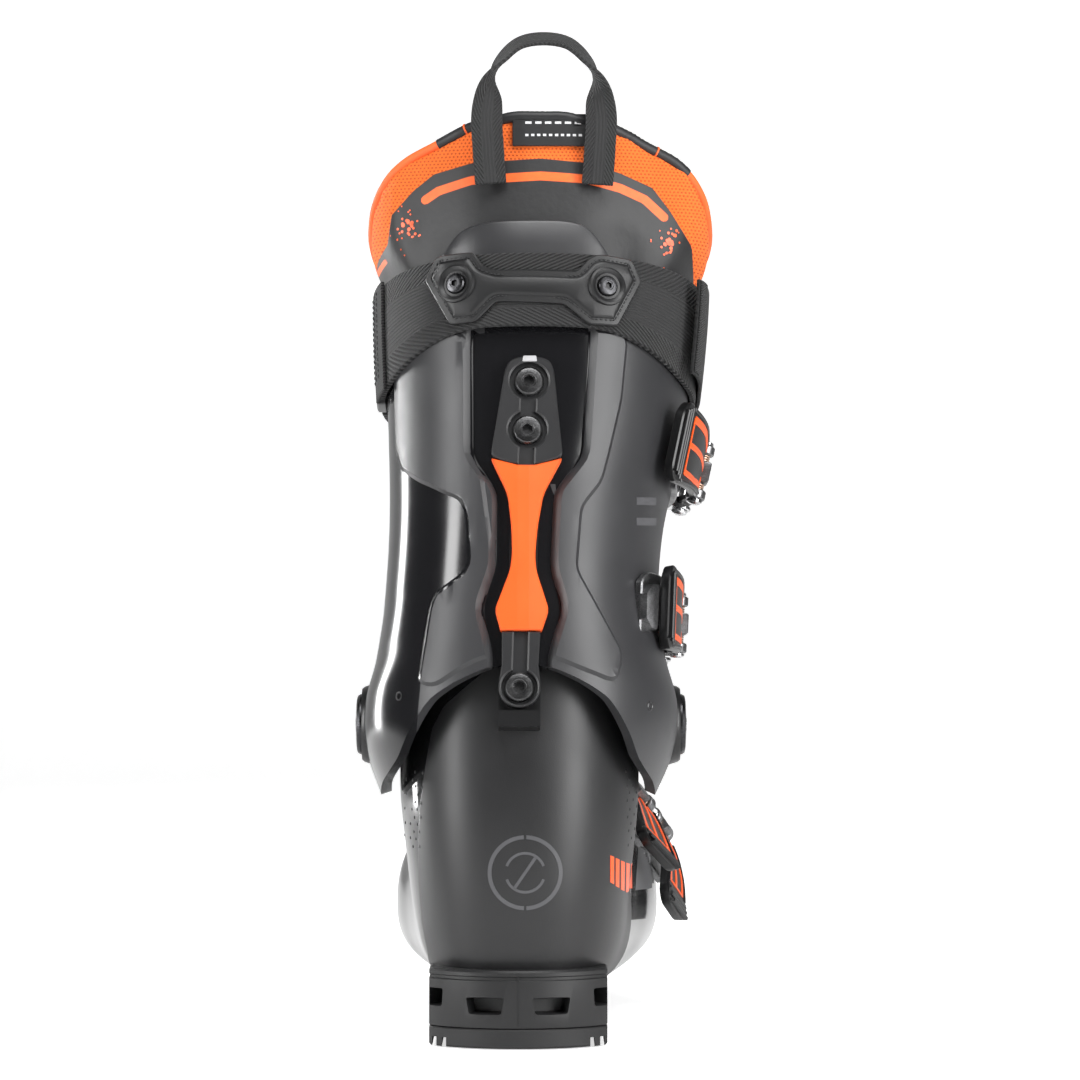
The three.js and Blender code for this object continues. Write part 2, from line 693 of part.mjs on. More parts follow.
// The link lies deeper towards its ear, where it carries the slider.
const linkOutline = mirrored([[7.2, barFoot - seat], [7, 6], [7.9, linkFoot + 2]]);
const ear = bar(
  vec(middleAt(linkFoot), -spineBack, linkFoot),
  vec(middleAt(linkFoot), -spineBack - spineThickness, linkFoot),
  earRadius,
  28,
);
let link = join(backPlate(linkOutline, spineBack, spineBack + spineThickness), ear);
link = cut(link, boltHole(linkFoot), headSeat(linkFoot));

/** The block under the link that runs in the shell's channel. */
function slider() {
  const floorRadius = Math.hypot(pivotY - heelBack, 16) - 7.5 + running;
  const body = block(
    vec(middleAt(linkFoot) - sliderHalfWidth, -spineBack + seat, linkFoot - 14),
    vec(middleAt(linkFoot) + sliderHalfWidth, -spineBack + 12, linkFoot + 6),
  );
  const drum = bar(vec(-40, 0, 0), vec(40, 0, 0), floorRadius, 64);
  const lip = block(
    vec(middleAt(linkFoot) - sliderHalfWidth, -spineBack - spineThickness, linkFoot - 15.5),
    vec(middleAt(linkFoot) + sliderHalfWidth, -spineBack + 2, linkFoot - earRadius - 1.2),
  );
  return cut(join(body, lip), drum, boltHole(linkFoot));
}

/** A button-head spine bolt with a hexagon socket. */
function spineBolt(height, reach) {
  const x = middleAt(height);
  const floor = -spineBack - spineThickness + headSink - seat;
  const head = bar(vec(x, floor, height), vec(x, floor - 2.4, height), spineBoltRadius, 20, spineBoltRadius - 1.6);
  const shank = bar(vec(x, floor - 1, height), vec(x, floor + reach, height), spineShankRadius, 14);
  const socket = bar(vec(x, floor - 1, height), vec(x, floor - 4, height), 2.2, 6);
  return cut(join(head, shank), socket);
}

const boltReach = spineThickness - headSink + 2 * seat + pressedWall;
const recessTool = cut(backPlate(mirrored(recessOutline), cuffBack - 12, cuffBack + 10), cuffCore(-spineRecess));
cuff = cut(cuff, recessTool, boltHole(boltHeights.spine_bolt_top), boltHole(boltHeights.spine_bolt_middle));
place(leaning, "spine_bracket", bracket, finish.cuff);
place(leaning, "spine_bar", spineBar, finish.orange);
place(leaning, "spine_link", link, finish.cuff);
place(leaning, "spine_slider", slider(), finish.rubber);
place(leaning, "spine_bolt_top", spineBolt(boltHeights.spine_bolt_top, boltReach), finish.darkSteel);
place(leaning, "spine_bolt_middle", spineBolt(boltHeights.spine_bolt_middle, boltReach), finish.darkSteel);
place(leaning, "spine_bolt_lower", spineBolt(linkFoot, 5.4), finish.darkSteel);
for (const side of [-1, 1]) place(leaning, `cuff_pivot_${sideName(side)}`, pivotBolt(side), finish.darkSteel);

// ---------------------------------------------------------------- liner, spoiler and tongue in the cuff

// Half widths of the liner's skin before it is held in by the cuff: it swells out above the cuff's top edge.
const linerInnerSide = [[-30, 54], [-12, 60.5], [4, 61.5], [20, 58], [40, 55.5], [75, 54.5], [110, 56], [150, 59], [168, 59.9], [184, 69.5], [200, 73.4], [240, 71]];
const linerOuterSide = [[-30, 54], [-12, 61], [4, 62], [20, 57.5], [40, 53.5], [75, 54.5], [110, 61], [150, 65], [168, 65.5], [184, 74.5], [200, 77.2], [240, 74]];

/** How far the liner lies inside the cuff's skin. */
function linerHeldIn(turn, height) {
  const angle = Math.abs(turn);
  const behindSpoiler = 1 - smoothstep(angle, degToRad(46), degToRad(60));
  const underFlaps = smoothstep(angle, degToRad(118), degToRad(140));
  const spoilerRoom = (spoilerThickness + 4 * seat) * behindSpoiler * smoothstep(height, 84, 112);
  return cuffWall + 2.2 * seat + backSwell(turn) + spoilerRoom + (cuffWall + flapGap) * underFlaps;
}
function linerSkin(turn, height, out = 0) {
  const skin = cuffSkin(turn, height, out - linerHeldIn(turn, height));
  const swollen = cuffSkin(turn, height, out - linerHeldIn(turn, height), [linerInnerSide, linerOuterSide]);
  return skin.lerp(swollen, smoothstep(Math.abs(turn), degToRad(30), degToRad(62)));
}
const collar = [[0, 234], [30, 231], [55, 221], [80, 204], [110, 193], [150, 188]];
const linerEnd = 146;

function cuffLiner() {
  const turns = cuffStops.filter((turn) => Math.abs(turn) < degToRad(linerEnd + 2));
  const low = 54;
  const rows = 9;
  const heights = [0, 0.12, 0.24, 0.245, 0.4, 0.55, 0.68, 0.78, 0.88, 1];
  const face = (out) => (i, j) => {
    const top = profile(collar, degreesFromBack(turns[i]));
    return linerSkin(turns[i], lerp(low, top, heights[j]), out);
  };
  return sheet(turns.length - 1, rows, face(0), face(-linerWall));
}
place(leaning, "liner_cuff", cuffLiner(), finish.liner);

/** The cuff's columns between two turns in degrees, with the two turns themselves. */
function stopsBetween(from, to) {
  const [low, high] = [degToRad(from), degToRad(to)];
  const around = [...ringStops.map((turn) => turn - 2 * Math.PI), ...ringStops];
  return [low, ...around.filter((turn) => turn > low + 0.03 && turn < high - 0.03), high];
}

/** A strip of sheet on a skin between two turns and two heights, at two distances out of it. */
function strip({ turns, heights, out, rows = 1, skin = cuffSkin, lowAt = () => heights[0], highAt = () => heights[1] }) {
  const stops = stopsBetween(turns[0], turns[1]);
  const face = (distance) => (i, j) => skin(stops[i], lerp(lowAt(stops[i]), highAt(stops[i]), j / rows), distance);
  return sheet(stops.length - 1, rows, face(out[1]), face(out[0]));
}

const spoilerTop = 185.5;
const spoilerSkin = (turn, height, out) => cuffSkin(turn, height, out - cuffWall - 2 * seat - backSwell(turn));
const spoiler = strip({
  turns: [-42, 42],
  heights: [118, spoilerTop],
  out: [-spoilerThickness, 0],
  rows: 4,
  skin: spoilerSkin,
  highAt: (turn) => spoilerTop - 24 * smoothstep(Math.abs(turn), degToRad(25), degToRad(42)),
});
place(leaning, "rear_spoiler", spoiler, finish.shell);

const tongueTop = 224;
const tongue = strip({
  turns: [151, 209],
  heights: [58, tongueTop],
  out: [-linerWall - 2, 0],
  rows: 7,
  skin: linerSkin,
  highAt: (turn) => tongueTop - 14 * Math.abs(Math.sin(turn)) ** 1.2,
});
place(leaning, "liner_tongue", tongue, finish.liner);

const label = strip({ turns: [-6.5, 15.5], heights: [218, 231], out: [seat, seat + 0.9], skin: linerSkin });
place(leaning, "liner_label", label, finish.webbing);

// ---------------------------------------------------------------- power strap

const strapHigh = 170;
const strapLow = (turn) => lerp(140.5, 128, smoothstep(Math.acos(Math.cos(turn)), degToRad(15), degToRad(75)));
const strap = strip({
  turns: [-84, 262],
  heights: [0, strapHigh],
  out: [2 * seat, 2 * seat + strapThickness],
  lowAt: strapLow,
});

const badgeOut = 3 * seat + strapThickness;
const badgeThickness = 1.8;
const badge = strip({ turns: [-31, 33], heights: [141, 168], out: [badgeOut, badgeOut + badgeThickness] });
const tab = strip({ turns: [60, 122], heights: [130, 168.5], out: [badgeOut, badgeOut + strapThickness] });

/** The outward direction of the cuff's skin. */
function cuffNormal(turn, height) {
  const east = cuffSkin(turn + 0.01, height).sub(cuffSkin(turn - 0.01, height));
  const north = cuffSkin(turn, height + 0.5).sub(cuffSkin(turn, height - 0.5));
  return east.cross(north).normalize();
}

/** A bar square to the cuff's skin, between two distances out of it. */
function stud(turn, height, from, to, radius, sides = 16, endRadius = radius) {
  const foot = cuffSkin(turn, height);
  const normal = cuffNormal(turn, height);
  const [start, end] = [from, to].map((out) => foot.clone().addScaledVector(normal, out));
  return bar(start, end, radius, sides, endRadius);
}

const strapBolts = [
  { name: "strap_bolt_inner", turn: degToRad(-22.5), height: 154 },
  { name: "strap_bolt_outer", turn: degToRad(24), height: 154 },
];
const strapBoltHoles = strapBolts.map(({ turn, height }) => stud(turn, height, -20, 20, 2.6 + seat, 12));
for (const { name, turn, height } of strapBolts) {
  const base = badgeOut + badgeThickness + seat + 0.4;
  const head = stud(turn, height, base, base + 2.6, 5.2, 18, 4.2);
  const shank = stud(turn, height, base + 1, -cuffWall, 2.6, 12);
  place(leaning, name, cut(join(head, shank), stud(turn, height, base + 1.2, base + 5, 1.9, 6)), finish.darkSteel);
}
place(leaning, "power_strap", cut(strap, ...strapBoltHoles), finish.webbing);
place(leaning, "strap_badge", cut(badge, ...strapBoltHoles), finish.rubber);
place(leaning, "strap_tab", tab, finish.webbing);
cuff = cut(cuff, ...strapBoltHoles);

// The ring at the inner side that the two ends of the strap meet at.
const ringFrame = strip({ turns: [-96, -86], heights: [129.5, 169], out: [2 * seat, 2 * seat + 3] });
const ringWindow = strip({ turns: [-93.6, -88.4], heights: [132.5, 166], out: [-2, 8] });
place(leaning, "strap_ring", cut(ringFrame, ringWindow), finish.rubber);

// ---------------------------------------------------------------- pull loops

/** A flat webbing loop along a curve, with its width held towards a given direction. */
function webbing(points, width, thickness, across, steps) {
  const curve = new THREE.CatmullRomCurve3(points, false, "centripetal");
  const rings = [];
  for (let k = 0; k <= steps; k++) {
    const at = curve.getPointAt(k / steps);
    const along = curve.getTangentAt(k / steps);
    const side = across(k / steps).clone().addScaledVector(along, -across(k / steps).dot(along)).normalize();
    const face = along.clone().cross(side);
    const corners = [[-0.5, -0.5], [0.5, -0.5], [0.5, 0.5], [-0.5, 0.5]];
    rings.push(corners.map(([u, v]) => at.clone().addScaledVector(side, u * width).addScaledVector(face, v * thickness)));
  }
  return skinned(rings);
}

const loopMiddle = 10;
const loopHalf = 21;
const loopFoot = 202;
/** A point of the pull loop, some way out behind the liner's back. */
const behindLiner = (x, height, out) => {
  const side = x > middleAt(height) ? linerOuterSide : linerInnerSide;
  const share = (x - middleAt(height)) / (profile(side, height) - linerHeldIn(0.2, height));
  const turn = Math.sign(share) * Math.asin(Math.abs(share) ** (cuffSquareness / 2));
  return linerSkin(turn, height, webbingThickness / 2 + 4 * seat + out).setX(x);
};
const pullLoop = webbing(
  [
    behindLiner(loopMiddle - loopHalf, loopFoot, 0), behindLiner(loopMiddle - loopHalf - 1, loopFoot + 14, 2.6),
    behindLiner(loopMiddle - loopHalf - 1.5, 231, 3.8), behindLiner(loopMiddle - loopHalf + 3, 248, 2),
    behindLiner(loopMiddle - 9, 260, -2), behindLiner(loopMiddle, 263, -3), behindLiner(loopMiddle + 9, 260, -2),
    behindLiner(loopMiddle + loopHalf - 3, 248, 2), behindLiner(loopMiddle + loopHalf + 1.5, 231, 3.8),
    behindLiner(loopMiddle + loopHalf + 1, loopFoot + 14, 2.6), behindLiner(loopMiddle + loopHalf, loopFoot, 0),
  ],
  webbingWidth,
  webbingThickness,
  (share) => vec(1, -0.8 * Math.sin(share * Math.PI), 0),
  26,
);
place(leaning, "pull_loop", pullLoop, finish.webbing);

const tongueFace = (height, out) => linerSkin(Math.PI, height, out).y;
const tongueLoop = webbing(
  [
    vec(-2, tongueFace(190, 2.8), 190), vec(-2, tongueFace(202, 4.4), 202), vec(1, tongueFace(214, 8), 214),
    vec(5, tongueFace(220, 10), 222), vec(9, tongueFace(214, 8), 214), vec(12, tongueFace(202, 4), 202),
    vec(12, tongueFace(190, 2.8), 190),
  ],
  10,
  1.6,
  () => vec(0.9, 0.5, 0),
  14,
);
place(leaning, "tongue_loop", tongueLoop, finish.webbing);

// ---------------------------------------------------------------- buckles

/**
 * A path over a skin between two places on it, carried on in both directions. It gives the point, the outward
 * direction and the forward direction at a distance along it, measured from the first place.
 */
function pathOver(skin, heart, from, to) {
  const at = (t) => [lerp(from[0], to[0], t), lerp(from[1], to[1], t)];
  const marks = [{ t: 0, distance: 0, point: skin(...at(0)) }];
  for (const step of [0.02, -0.02]) {
    let last = marks[step > 0 ? marks.length - 1 : 0];
    while (Math.abs(last.t) < 1.8) {
      const t = last.t + step;
      const point = skin(...at(t));
      last = { t, point, distance: last.distance + Math.sign(step) * point.distanceTo(last.point) };
      if (step > 0) marks.push(last);
      else marks.unshift(last);
    }
  }
  const shareAt = (distance) => {
    const k = clamp(marks.findIndex((mark) => mark.distance > distance), 1, marks.length - 1);
    const [a, b] = [marks[k - 1], marks[k]];
    return lerp(a.t, b.t, (distance - a.distance) / (b.distance - a.distance));
  };
  const read = (distance) => {
    const t = shareAt(distance);
    const [u, v] = at(t);
    const east = skin(u + 0.004, v).sub(skin(u - 0.004, v));
    const north = skin(u, v + 0.02).sub(skin(u, v - 0.02));
    const point = skin(u, v);
    const along = skin(...at(t + 0.01)).sub(skin(...at(t - 0.01))).normalize();
    const normal = east.cross(north).normalize();
    if (normal.dot(point.clone().sub(heart(u, v))) < 0) normal.negate();
    normal.addScaledVector(along, -normal.dot(along)).normalize();
    return { point, along, normal };
  };
  return { read, length: marks.find((mark) => mark.t >= 1).distance };
}

/** Builds buckle parts in a path's own terms: a distance along it, a width across it and a height off the skin. */
function workbench(path) {
  const { normal, along } = path.read(0);
  const up = normal.clone().cross(along).normalize();
  const spot = (distance, across, off) => {
    const { point, normal: out } = path.read(distance);
    return point.clone().addScaledVector(up, across).addScaledVector(out, off);
  };
  /** A bar of changing section. Each mark is [distance, low edge, high edge, underside, top]. */
  const ribbon = (...marks) => {
    const rings = [];
    marks.forEach((mark, k) => {
      const before = marks[k - 1];
      const pieces = before ? Math.max(1, Math.round(Math.abs(mark[0] - before[0]) / 14)) : 1;
      for (let p = 1; p <= pieces; p++) {
        const [d, low, high, under, top] = before ? mark.map((value, n) => lerp(before[n], value, p / pieces)) : mark;
        rings.push([spot(d, low, under), spot(d, high, under), spot(d, high, top), spot(d, low, top)]);
      }
    });
    return skinned(rings);
  };
  /** A round pin across the path. */
  const pin = (distance, off, from, to, radius, sides = 10) => {
    const middle = spot(distance, 0, off);
    return bar(middle.clone().addScaledVector(up, from), middle.clone().addScaledVector(up, to), radius, sides);
  };
  return { ribbon, pin, spot, up };
}

// Sizes shared by the four buckles. Distances are measured from the lever's hinge towards the ladder.
const hingeOff = 6.4;
const trunnionBack = 13;
const trunnionOff = 9.6;
const knuckleHalf = 11.3;
const knuckleLength = 4.7;
const cheekThickness = 2.4;
const flangeThickness = 1.8;
const basePlate = 2.2;
const ladderPlate = 1.8;
const hookRadius = 1.5;
const blockHalf = 4.6;

/** Makes one buckle: base, hinge pin, lever, bail and ladder. */
function buckle({ name, parent, core, path, leverLength, leverHalf, tipOff, tail }) {
  const { ribbon, pin } = workbench(path);
  const hook = path.length;
  const back = -trunnionBack;

  const flangeIn = knuckleHalf + running + 0.1;
  const flangeOut = flangeIn + flangeThickness;
  const baseHalf = flangeOut + 0.4;
  let base = ribbon([-tail, -baseHalf, baseHalf, -7, basePlate], [7, -baseHalf, baseHalf, -7, basePlate]);
  if (tail > leverLength + trunnionBack) {
    const rise = [[-tail, 5], [-tail + 5, 9], [-tail + 11, 9]];
    base = join(base, ribbon(...rise.map(([d, half], k) => [d, -half, half, 0, basePlate + [0.4, 3.4, 0][k]])));
  }
  for (const side of [-1, 1]) {
    const [low, high] = side < 0 ? [-flangeOut, -flangeIn] : [flangeIn, flangeOut];
    base = join(base, ribbon([-6, low, high, 0.3, 4], [0, low, high, 0.3, hingeOff + 3], [5, low, high, 0.3, 4]));
    base = join(base, pin(0, hingeOff, low - 0.1, high + 0.1, knuckleRadius, 10));
  }
  base = cut(base, core, pin(0, hingeOff, -20, 20, axleRadius + seat));

  const pinEnd = flangeOut + seat;
  let axle = pin(0, hingeOff, -pinEnd - 0.5, pinEnd + 0.5, axleRadius, 8);
  for (const side of [-1, 1]) {
    const [low, high] = side < 0 ? [-pinEnd - 1.5, -pinEnd] : [pinEnd, pinEnd + 1.5];
    axle = join(axle, pin(0, hingeOff, low, high, 3.2, 12));
  }

  const knuckleIn = knuckleHalf - knuckleLength;
  const tip = -leverLength - trunnionBack;
  let lever = ribbon(
    [tip, -leverHalf + 5, leverHalf - 5, tipOff + 0.4, tipOff + leverThickness],
    [tip + 4, -leverHalf, leverHalf, tipOff, tipOff + leverThickness],
    [back - 18, -leverHalf + 2.5, leverHalf - 2.5, lerp(tipOff, 6.6, 0.7), lerp(tipOff, 6.6, 0.7) + leverThickness],
    [back - 5, -knuckleHalf, knuckleHalf, 6.6, 6.6 + leverThickness],
    [back, -knuckleHalf, knuckleHalf, 6.8, 6.8 + leverThickness],
  );
  const rim = tipOff + leverThickness;
  lever = join(
    lever,
    ribbon([tip, -leverHalf + 5, leverHalf - 5, rim - 1, rim + 1.6], [tip + 4, -leverHalf, leverHalf, rim - 1, rim + 0.6]),
  );
  lever = cut(lever, ribbon([back - 6.4, -knuckleIn, knuckleIn, 0, 20], [back + 10, -knuckleIn, knuckleIn, 0, 20]));
  for (const side of [-1, 1]) {
    const [low, high] = side < 0 ? [-knuckleHalf, -knuckleIn] : [knuckleIn, knuckleHalf];
    const [cheekLow, cheekHigh] = side < 0 ? [low + 0.1, low + cheekThickness] : [high - cheekThickness, high - 0.1];
    lever = join(
      lever,
      pin(back, trunnionOff, low, high, knuckleRadius, 10),
      ribbon(
        [back, cheekLow, cheekHigh, trunnionOff - 3.2, trunnionOff + 3.2],
        [0, cheekLow, cheekHigh, hingeOff - 2.8, hingeOff + 3.4],
      ),
      pin(0, hingeOff, cheekLow + 0.1, cheekHigh - 0.1, 3.4, 10),
    );
  }
  lever = cut(lever, pin(0, hingeOff, -20, 20, axleRadius + running), pin(back, trunnionOff, -20, 20, axleRadius + running));

  const blockIn = blockHalf - 0.2;
  let bail = join(
    ribbon([back - 4.4, -blockIn, blockIn, trunnionOff - 3.4, trunnionOff + 3.6], [back + 4.4, -blockIn, blockIn, trunnionOff - 3.4, trunnionOff + 3.6]),
    pin(back, trunnionOff, -knuckleHalf + 0.2, knuckleHalf - 0.2, axleRadius, 8),
    ribbon([back + 3, -3, 3, 9.4, 12.6], [2, -3, 3, 9.2, 12.4], [14, -3, 3, 6.6, 9.8], [24, -3, 3, 5, 8.2]),
    ribbon([20, -10.6, 10.6, 5.2, 8.4], [26, -10.6, 10.6, 4.8, 8]),
    pin(hook, ladderPlate + 2 * running + hookRadius, -10.8, 10.8, hookRadius, 8),
  );
  for (const side of [-1, 1]) {
    const [low, high] = side < 0 ? [-10.8, -8.9] : [8.9, 10.8];
    bail = join(bail, ribbon([22, low, high, 5, 8], [hook + 1.2, low, high, ladderPlate + 1.6, ladderPlate + 4]));
  }

  let ladder = ribbon([hook - 9, -7.8, 7.8, -7, ladderPlate], [hook + 26, -7.8, 7.8, -7, ladderPlate - 0.4]);
  ladder = cut(ladder, core);
  const firstTooth = hook - hookRadius - 2.2 - toothHeight / 2;
  for (let k = 0; k < 4; k++) {
    ladder = join(ladder, pin(firstTooth + k * toothPitch, ladderPlate - 0.3, -7, 7, toothHeight, 8));
  }
  ladder = cut(ladder, core);

  place(parent, `${name}_buckle_base`, base, finish.grey);
  place(parent, `${name}_buckle_pin`, axle, finish.steel);
  place(parent, `${name}_buckle_lever`, lever, finish.rubber);
  place(parent, `${name}_buckle_bail`, bail, finish.darkSteel);
  place(parent, `${name}_buckle_ladder`, ladder, finish.grey);
}

const cuffHeart = (turn, height) => vec(middleAt(height), -13, height);
const cuffBlank = cuffCore(4 * seat);
const cuffPath = (from, to) => pathOver(cuffSkin, cuffHeart, [degToRad(from[0]), from[1]], [degToRad(to[0]), to[1]]);
const onCuff = { parent: leaning, core: cuffBlank, leverLength: 54, leverHalf: 16.5, tipOff: 4.6 };
buckle({ ...onCuff, name: "upper_cuff", path: cuffPath([108, 106], [166, 109]), tail: 42 });
buckle({ ...onCuff, name: "lower_cuff", path: cuffPath([114, 44], [170, 53]), tail: 79 });

const footHeart = (share) => {
  const { sole, instep } = station(share, 0);
  return vec(0, (sole.x + instep.x) / 2, (sole.y + instep.y) / 2);
};
const footBlank = footCore(-seat);
const footPath = (from, to) => pathOver((s, a) => footSkin(s, a), footHeart, [from[0], degToRad(from[1])], [to[0], degToRad(to[1])]);
const onFoot = { parent: boot, core: footBlank, leverLength: 44, leverHalf: 15, tipOff: 9, tail: 34 };
buckle({ ...onFoot, name: "instep", path: footPath([0.515, 138], [0.535, 184]), leverLength: 42 });
buckle({ ...onFoot, name: "toe", path: footPath([0.69, 136], [0.71, 186]), leverLength: 40, tipOff: 5.5 });

place(leaning, "cuff", cuff, finish.cuff);

export default boot;
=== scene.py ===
# %% [markdown]
# # A four-buckle ski boot for the right foot
#
# The CAD frame holds every part of the boot at its true size and place. This lesson dresses it: the moulded
# shells, the spine, the soft liner, the woven straps and the buckles are each modelled again with the detail
# that a hand would feel, and each rides on the same moving body as the CAD part that it stands for.

# %% Load the frame
import functools
import math
import random

import bmesh
import bpy
from mathutils import Matrix, Vector


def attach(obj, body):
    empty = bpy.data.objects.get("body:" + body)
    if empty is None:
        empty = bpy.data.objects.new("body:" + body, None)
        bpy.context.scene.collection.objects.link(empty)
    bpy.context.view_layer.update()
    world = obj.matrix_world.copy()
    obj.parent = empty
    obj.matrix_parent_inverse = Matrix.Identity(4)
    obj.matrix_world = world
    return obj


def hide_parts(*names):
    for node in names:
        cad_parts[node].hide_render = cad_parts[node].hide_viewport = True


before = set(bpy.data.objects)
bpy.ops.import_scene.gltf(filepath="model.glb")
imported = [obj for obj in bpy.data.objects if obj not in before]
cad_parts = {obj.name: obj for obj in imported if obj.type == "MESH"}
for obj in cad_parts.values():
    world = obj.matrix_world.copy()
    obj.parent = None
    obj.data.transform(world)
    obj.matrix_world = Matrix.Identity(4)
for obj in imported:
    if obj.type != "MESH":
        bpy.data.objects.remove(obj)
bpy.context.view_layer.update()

scene = bpy.context.scene

# %% [markdown]
# ## Camera, floor and light
#
# The boot is looked at from straight behind, from two metres away, at half its height. A long lens keeps its
# sides parallel. The floor and the wall are one pale sheet with a soft bend between them, so no line shows
# behind the boot. Big soft lights on both sides draw long reflections down the glossy plastic.

# %% Camera
viewing_distance = 2.0
field_width = 0.414
heel_back = -0.038
camera_data = bpy.data.cameras.new("camera")
camera_data.sensor_width = 36
camera_data.lens = 36 * viewing_distance / field_width
camera = bpy.data.objects.new("camera", camera_data)
camera.location = (0.0084, heel_back - viewing_distance, 0.1953)
camera.rotation_euler = (math.radians(90), 0, 0)
scene.collection.objects.link(camera)
scene.camera = camera
print("lens", round(camera_data.lens), "mm")


# %% Floor, wall and lights
def soft_light(name, place, aim, size, power):
    """A square soft light at a place, turned to face a point."""
    lamp = bpy.data.lights.new(name, "AREA")
    lamp.shape = "RECTANGLE"
    lamp.size, lamp.size_y = size
    lamp.energy = power
    light = bpy.data.objects.new(name, lamp)
    light.location = place
    light.rotation_euler = (Vector(aim) - Vector(place)).to_track_quat("-Z", "Y").to_euler()
    scene.collection.objects.link(light)


middle_of_boot = (0, 0.06, 0.19)
soft_light("light_left", (-1.25, -0.55, 0.42), middle_of_boot, (0.32, 1.1), 16)
soft_light("light_left_rim", (-1.2, 1.15, 0.35), middle_of_boot, (0.22, 1.0), 16)
soft_light("light_right", (1.35, -1.0, 0.6), middle_of_boot, (0.7, 1.2), 30)
soft_light("light_top", (0.2, -0.7, 1.7), middle_of_boot, (1.2, 0.8), 26)

world = bpy.data.worlds.new("studio")
world.use_nodes = True
world.node_tree.nodes["Background"].inputs["Color"].default_value = (1, 1, 1, 1)
world.node_tree.nodes["Background"].inputs["Strength"].default_value = 0.05
scene.world = world
scene.view_settings.view_transform = "Standard"

paper_mesh = bpy.data.meshes.new("studio_paper")
paper_bm = bmesh.new()
paper_low = [(-4, -4, -0.0005), (4, -4, -0.0005), (4, 2.2, -0.0005), (-4, 2.2, -0.0005)]
paper_face = paper_bm.faces.new([paper_bm.verts.new(corner) for corner in paper_low])
far_edge = max(paper_bm.edges, key=lambda edge: sum(vert.co.y for vert in edge.verts))
bmesh.ops.spin(
    paper_bm, geom=[far_edge], cent=(0, 2.2, 1.0), axis=(1, 0, 0), angle=math.radians(90), steps=12, use_merge=False
)
top_edge = max(paper_bm.edges, key=lambda edge: sum(vert.co.z for vert in edge.verts))
raised = bmesh.ops.extrude_edge_only(paper_bm, edges=[top_edge])["geom"]
bmesh.ops.translate(paper_bm, verts=[v for v in raised if isinstance(v, bmesh.types.BMVert)], vec=(0, 0, 4))
for face in paper_bm.faces:
    face.smooth = True
paper_bm.to_mesh(paper_mesh)
paper_bm.free()
paper = bpy.data.objects.new("studio_paper", paper_mesh)
paper_finish = bpy.data.materials.new("studio_paper")
paper_finish.use_nodes = True
paper_shader = paper_finish.node_tree.nodes["Principled BSDF"]
paper_shader.inputs["Base Color"].default_value = (0.93, 0.93, 0.93, 1)
paper_shader.inputs["Roughness"].default_value = 0.9
paper_shader.inputs["Emission Color"].default_value = (1, 1, 1, 1)
seen = paper_finish.node_tree.nodes.new("ShaderNodeLightPath")
glow = paper_finish.node_tree.nodes.new("ShaderNodeMapRange")
glow.inputs["To Min"].default_value = 0.08
glow.inputs["To Max"].default_value = 0.66
paper_finish.node_tree.links.new(seen.outputs["Is Camera Ray"], glow.inputs["Value"])
paper_finish.node_tree.links.new(glow.outputs["Result"], paper_shader.inputs["Emission Strength"])
paper_mesh.materials.append(paper_finish)
scene.collection.objects.link(paper)
print("studio ready")

# %% [markdown]
# ## The boot's own sizes
#
# Everything follows from a few curves, in millimetres: the foot part is a tube of rounded sections along the
# sole, and the cuff is a tube of rounded sections up the leg, leaning forward about the ankle pivots. A piece
# that lies on one of these skins is modelled flat, the way a template is drawn on paper, and then wrapped on it.

# %% Curves
MM = 0.001
SOLE_LENGTH = 306
SOLE_WIDTH = 69
HEEL_BACK = -38
TOE_FRONT = HEEL_BACK + SOLE_LENGTH
HEEL_LEDGE = 30
TOE_LEDGE = 19
PAD = 7.6
SHELL_WALL = 5
FLAP_GAP = 0.8
PIVOT = Vector((0, 38, 122))
LEAN = math.radians(14)
CUFF_WALL = 4.5
CUFF_BACK = 82


def lerp(a, b, t):
    return a + (b - a) * t


def smooth(value, low, high):
    """0 below low, 1 above high and a soft change between them."""
    t = min(1, max(0, (value - low) / (high - low)))
    return t * t * (3 - 2 * t)


def through(values, share):
    """A smooth curve through evenly spaced values; share runs from 0 to 1."""
    last = len(values) - 1
    place = min(1, max(0, share)) * last
    i = min(int(place), last - 1)
    t = place - i
    b, c = values[i], values[i + 1]
    a = values[i - 1] if i > 0 else 2 * b - c
    d = values[i + 2] if i + 2 <= last else 2 * c - b
    return 0.5 * (2 * b + (c - a) * t + (2 * a - 5 * b + 4 * c - d) * t * t + (3 * b - a - 3 * c + d) * t**3)


def profile(pairs, height):
    """A smooth value at a height, from (height, value) pairs."""
    if height <= pairs[0][0]:
        return pairs[0][1]
    for i in range(1, len(pairs)):
        if height <= pairs[i][0]:
            share = (height - pairs[i - 1][0]) / (pairs[i][0] - pairs[i - 1][0])
            return through([pair[1] for pair in pairs], (i - 1 + share) / (len(pairs) - 1))
    return pairs[-1][1]


def squared(angle, exponent):
    """Cosine and sine of an angle, squared off towards a rounded rectangle."""
    c, s = math.cos(angle), math.sin(angle)
    return math.copysign(abs(c) ** (2 / exponent), c), math.copysign(abs(s) ** (2 / exponent), s)


# %% [markdown]
# ### The skin of the foot part
#
# Each station names a point of the heel and sole line and the point of the instep line across from it, as a
# share of the sole length and a height, and the half widths to the inner and outer side.

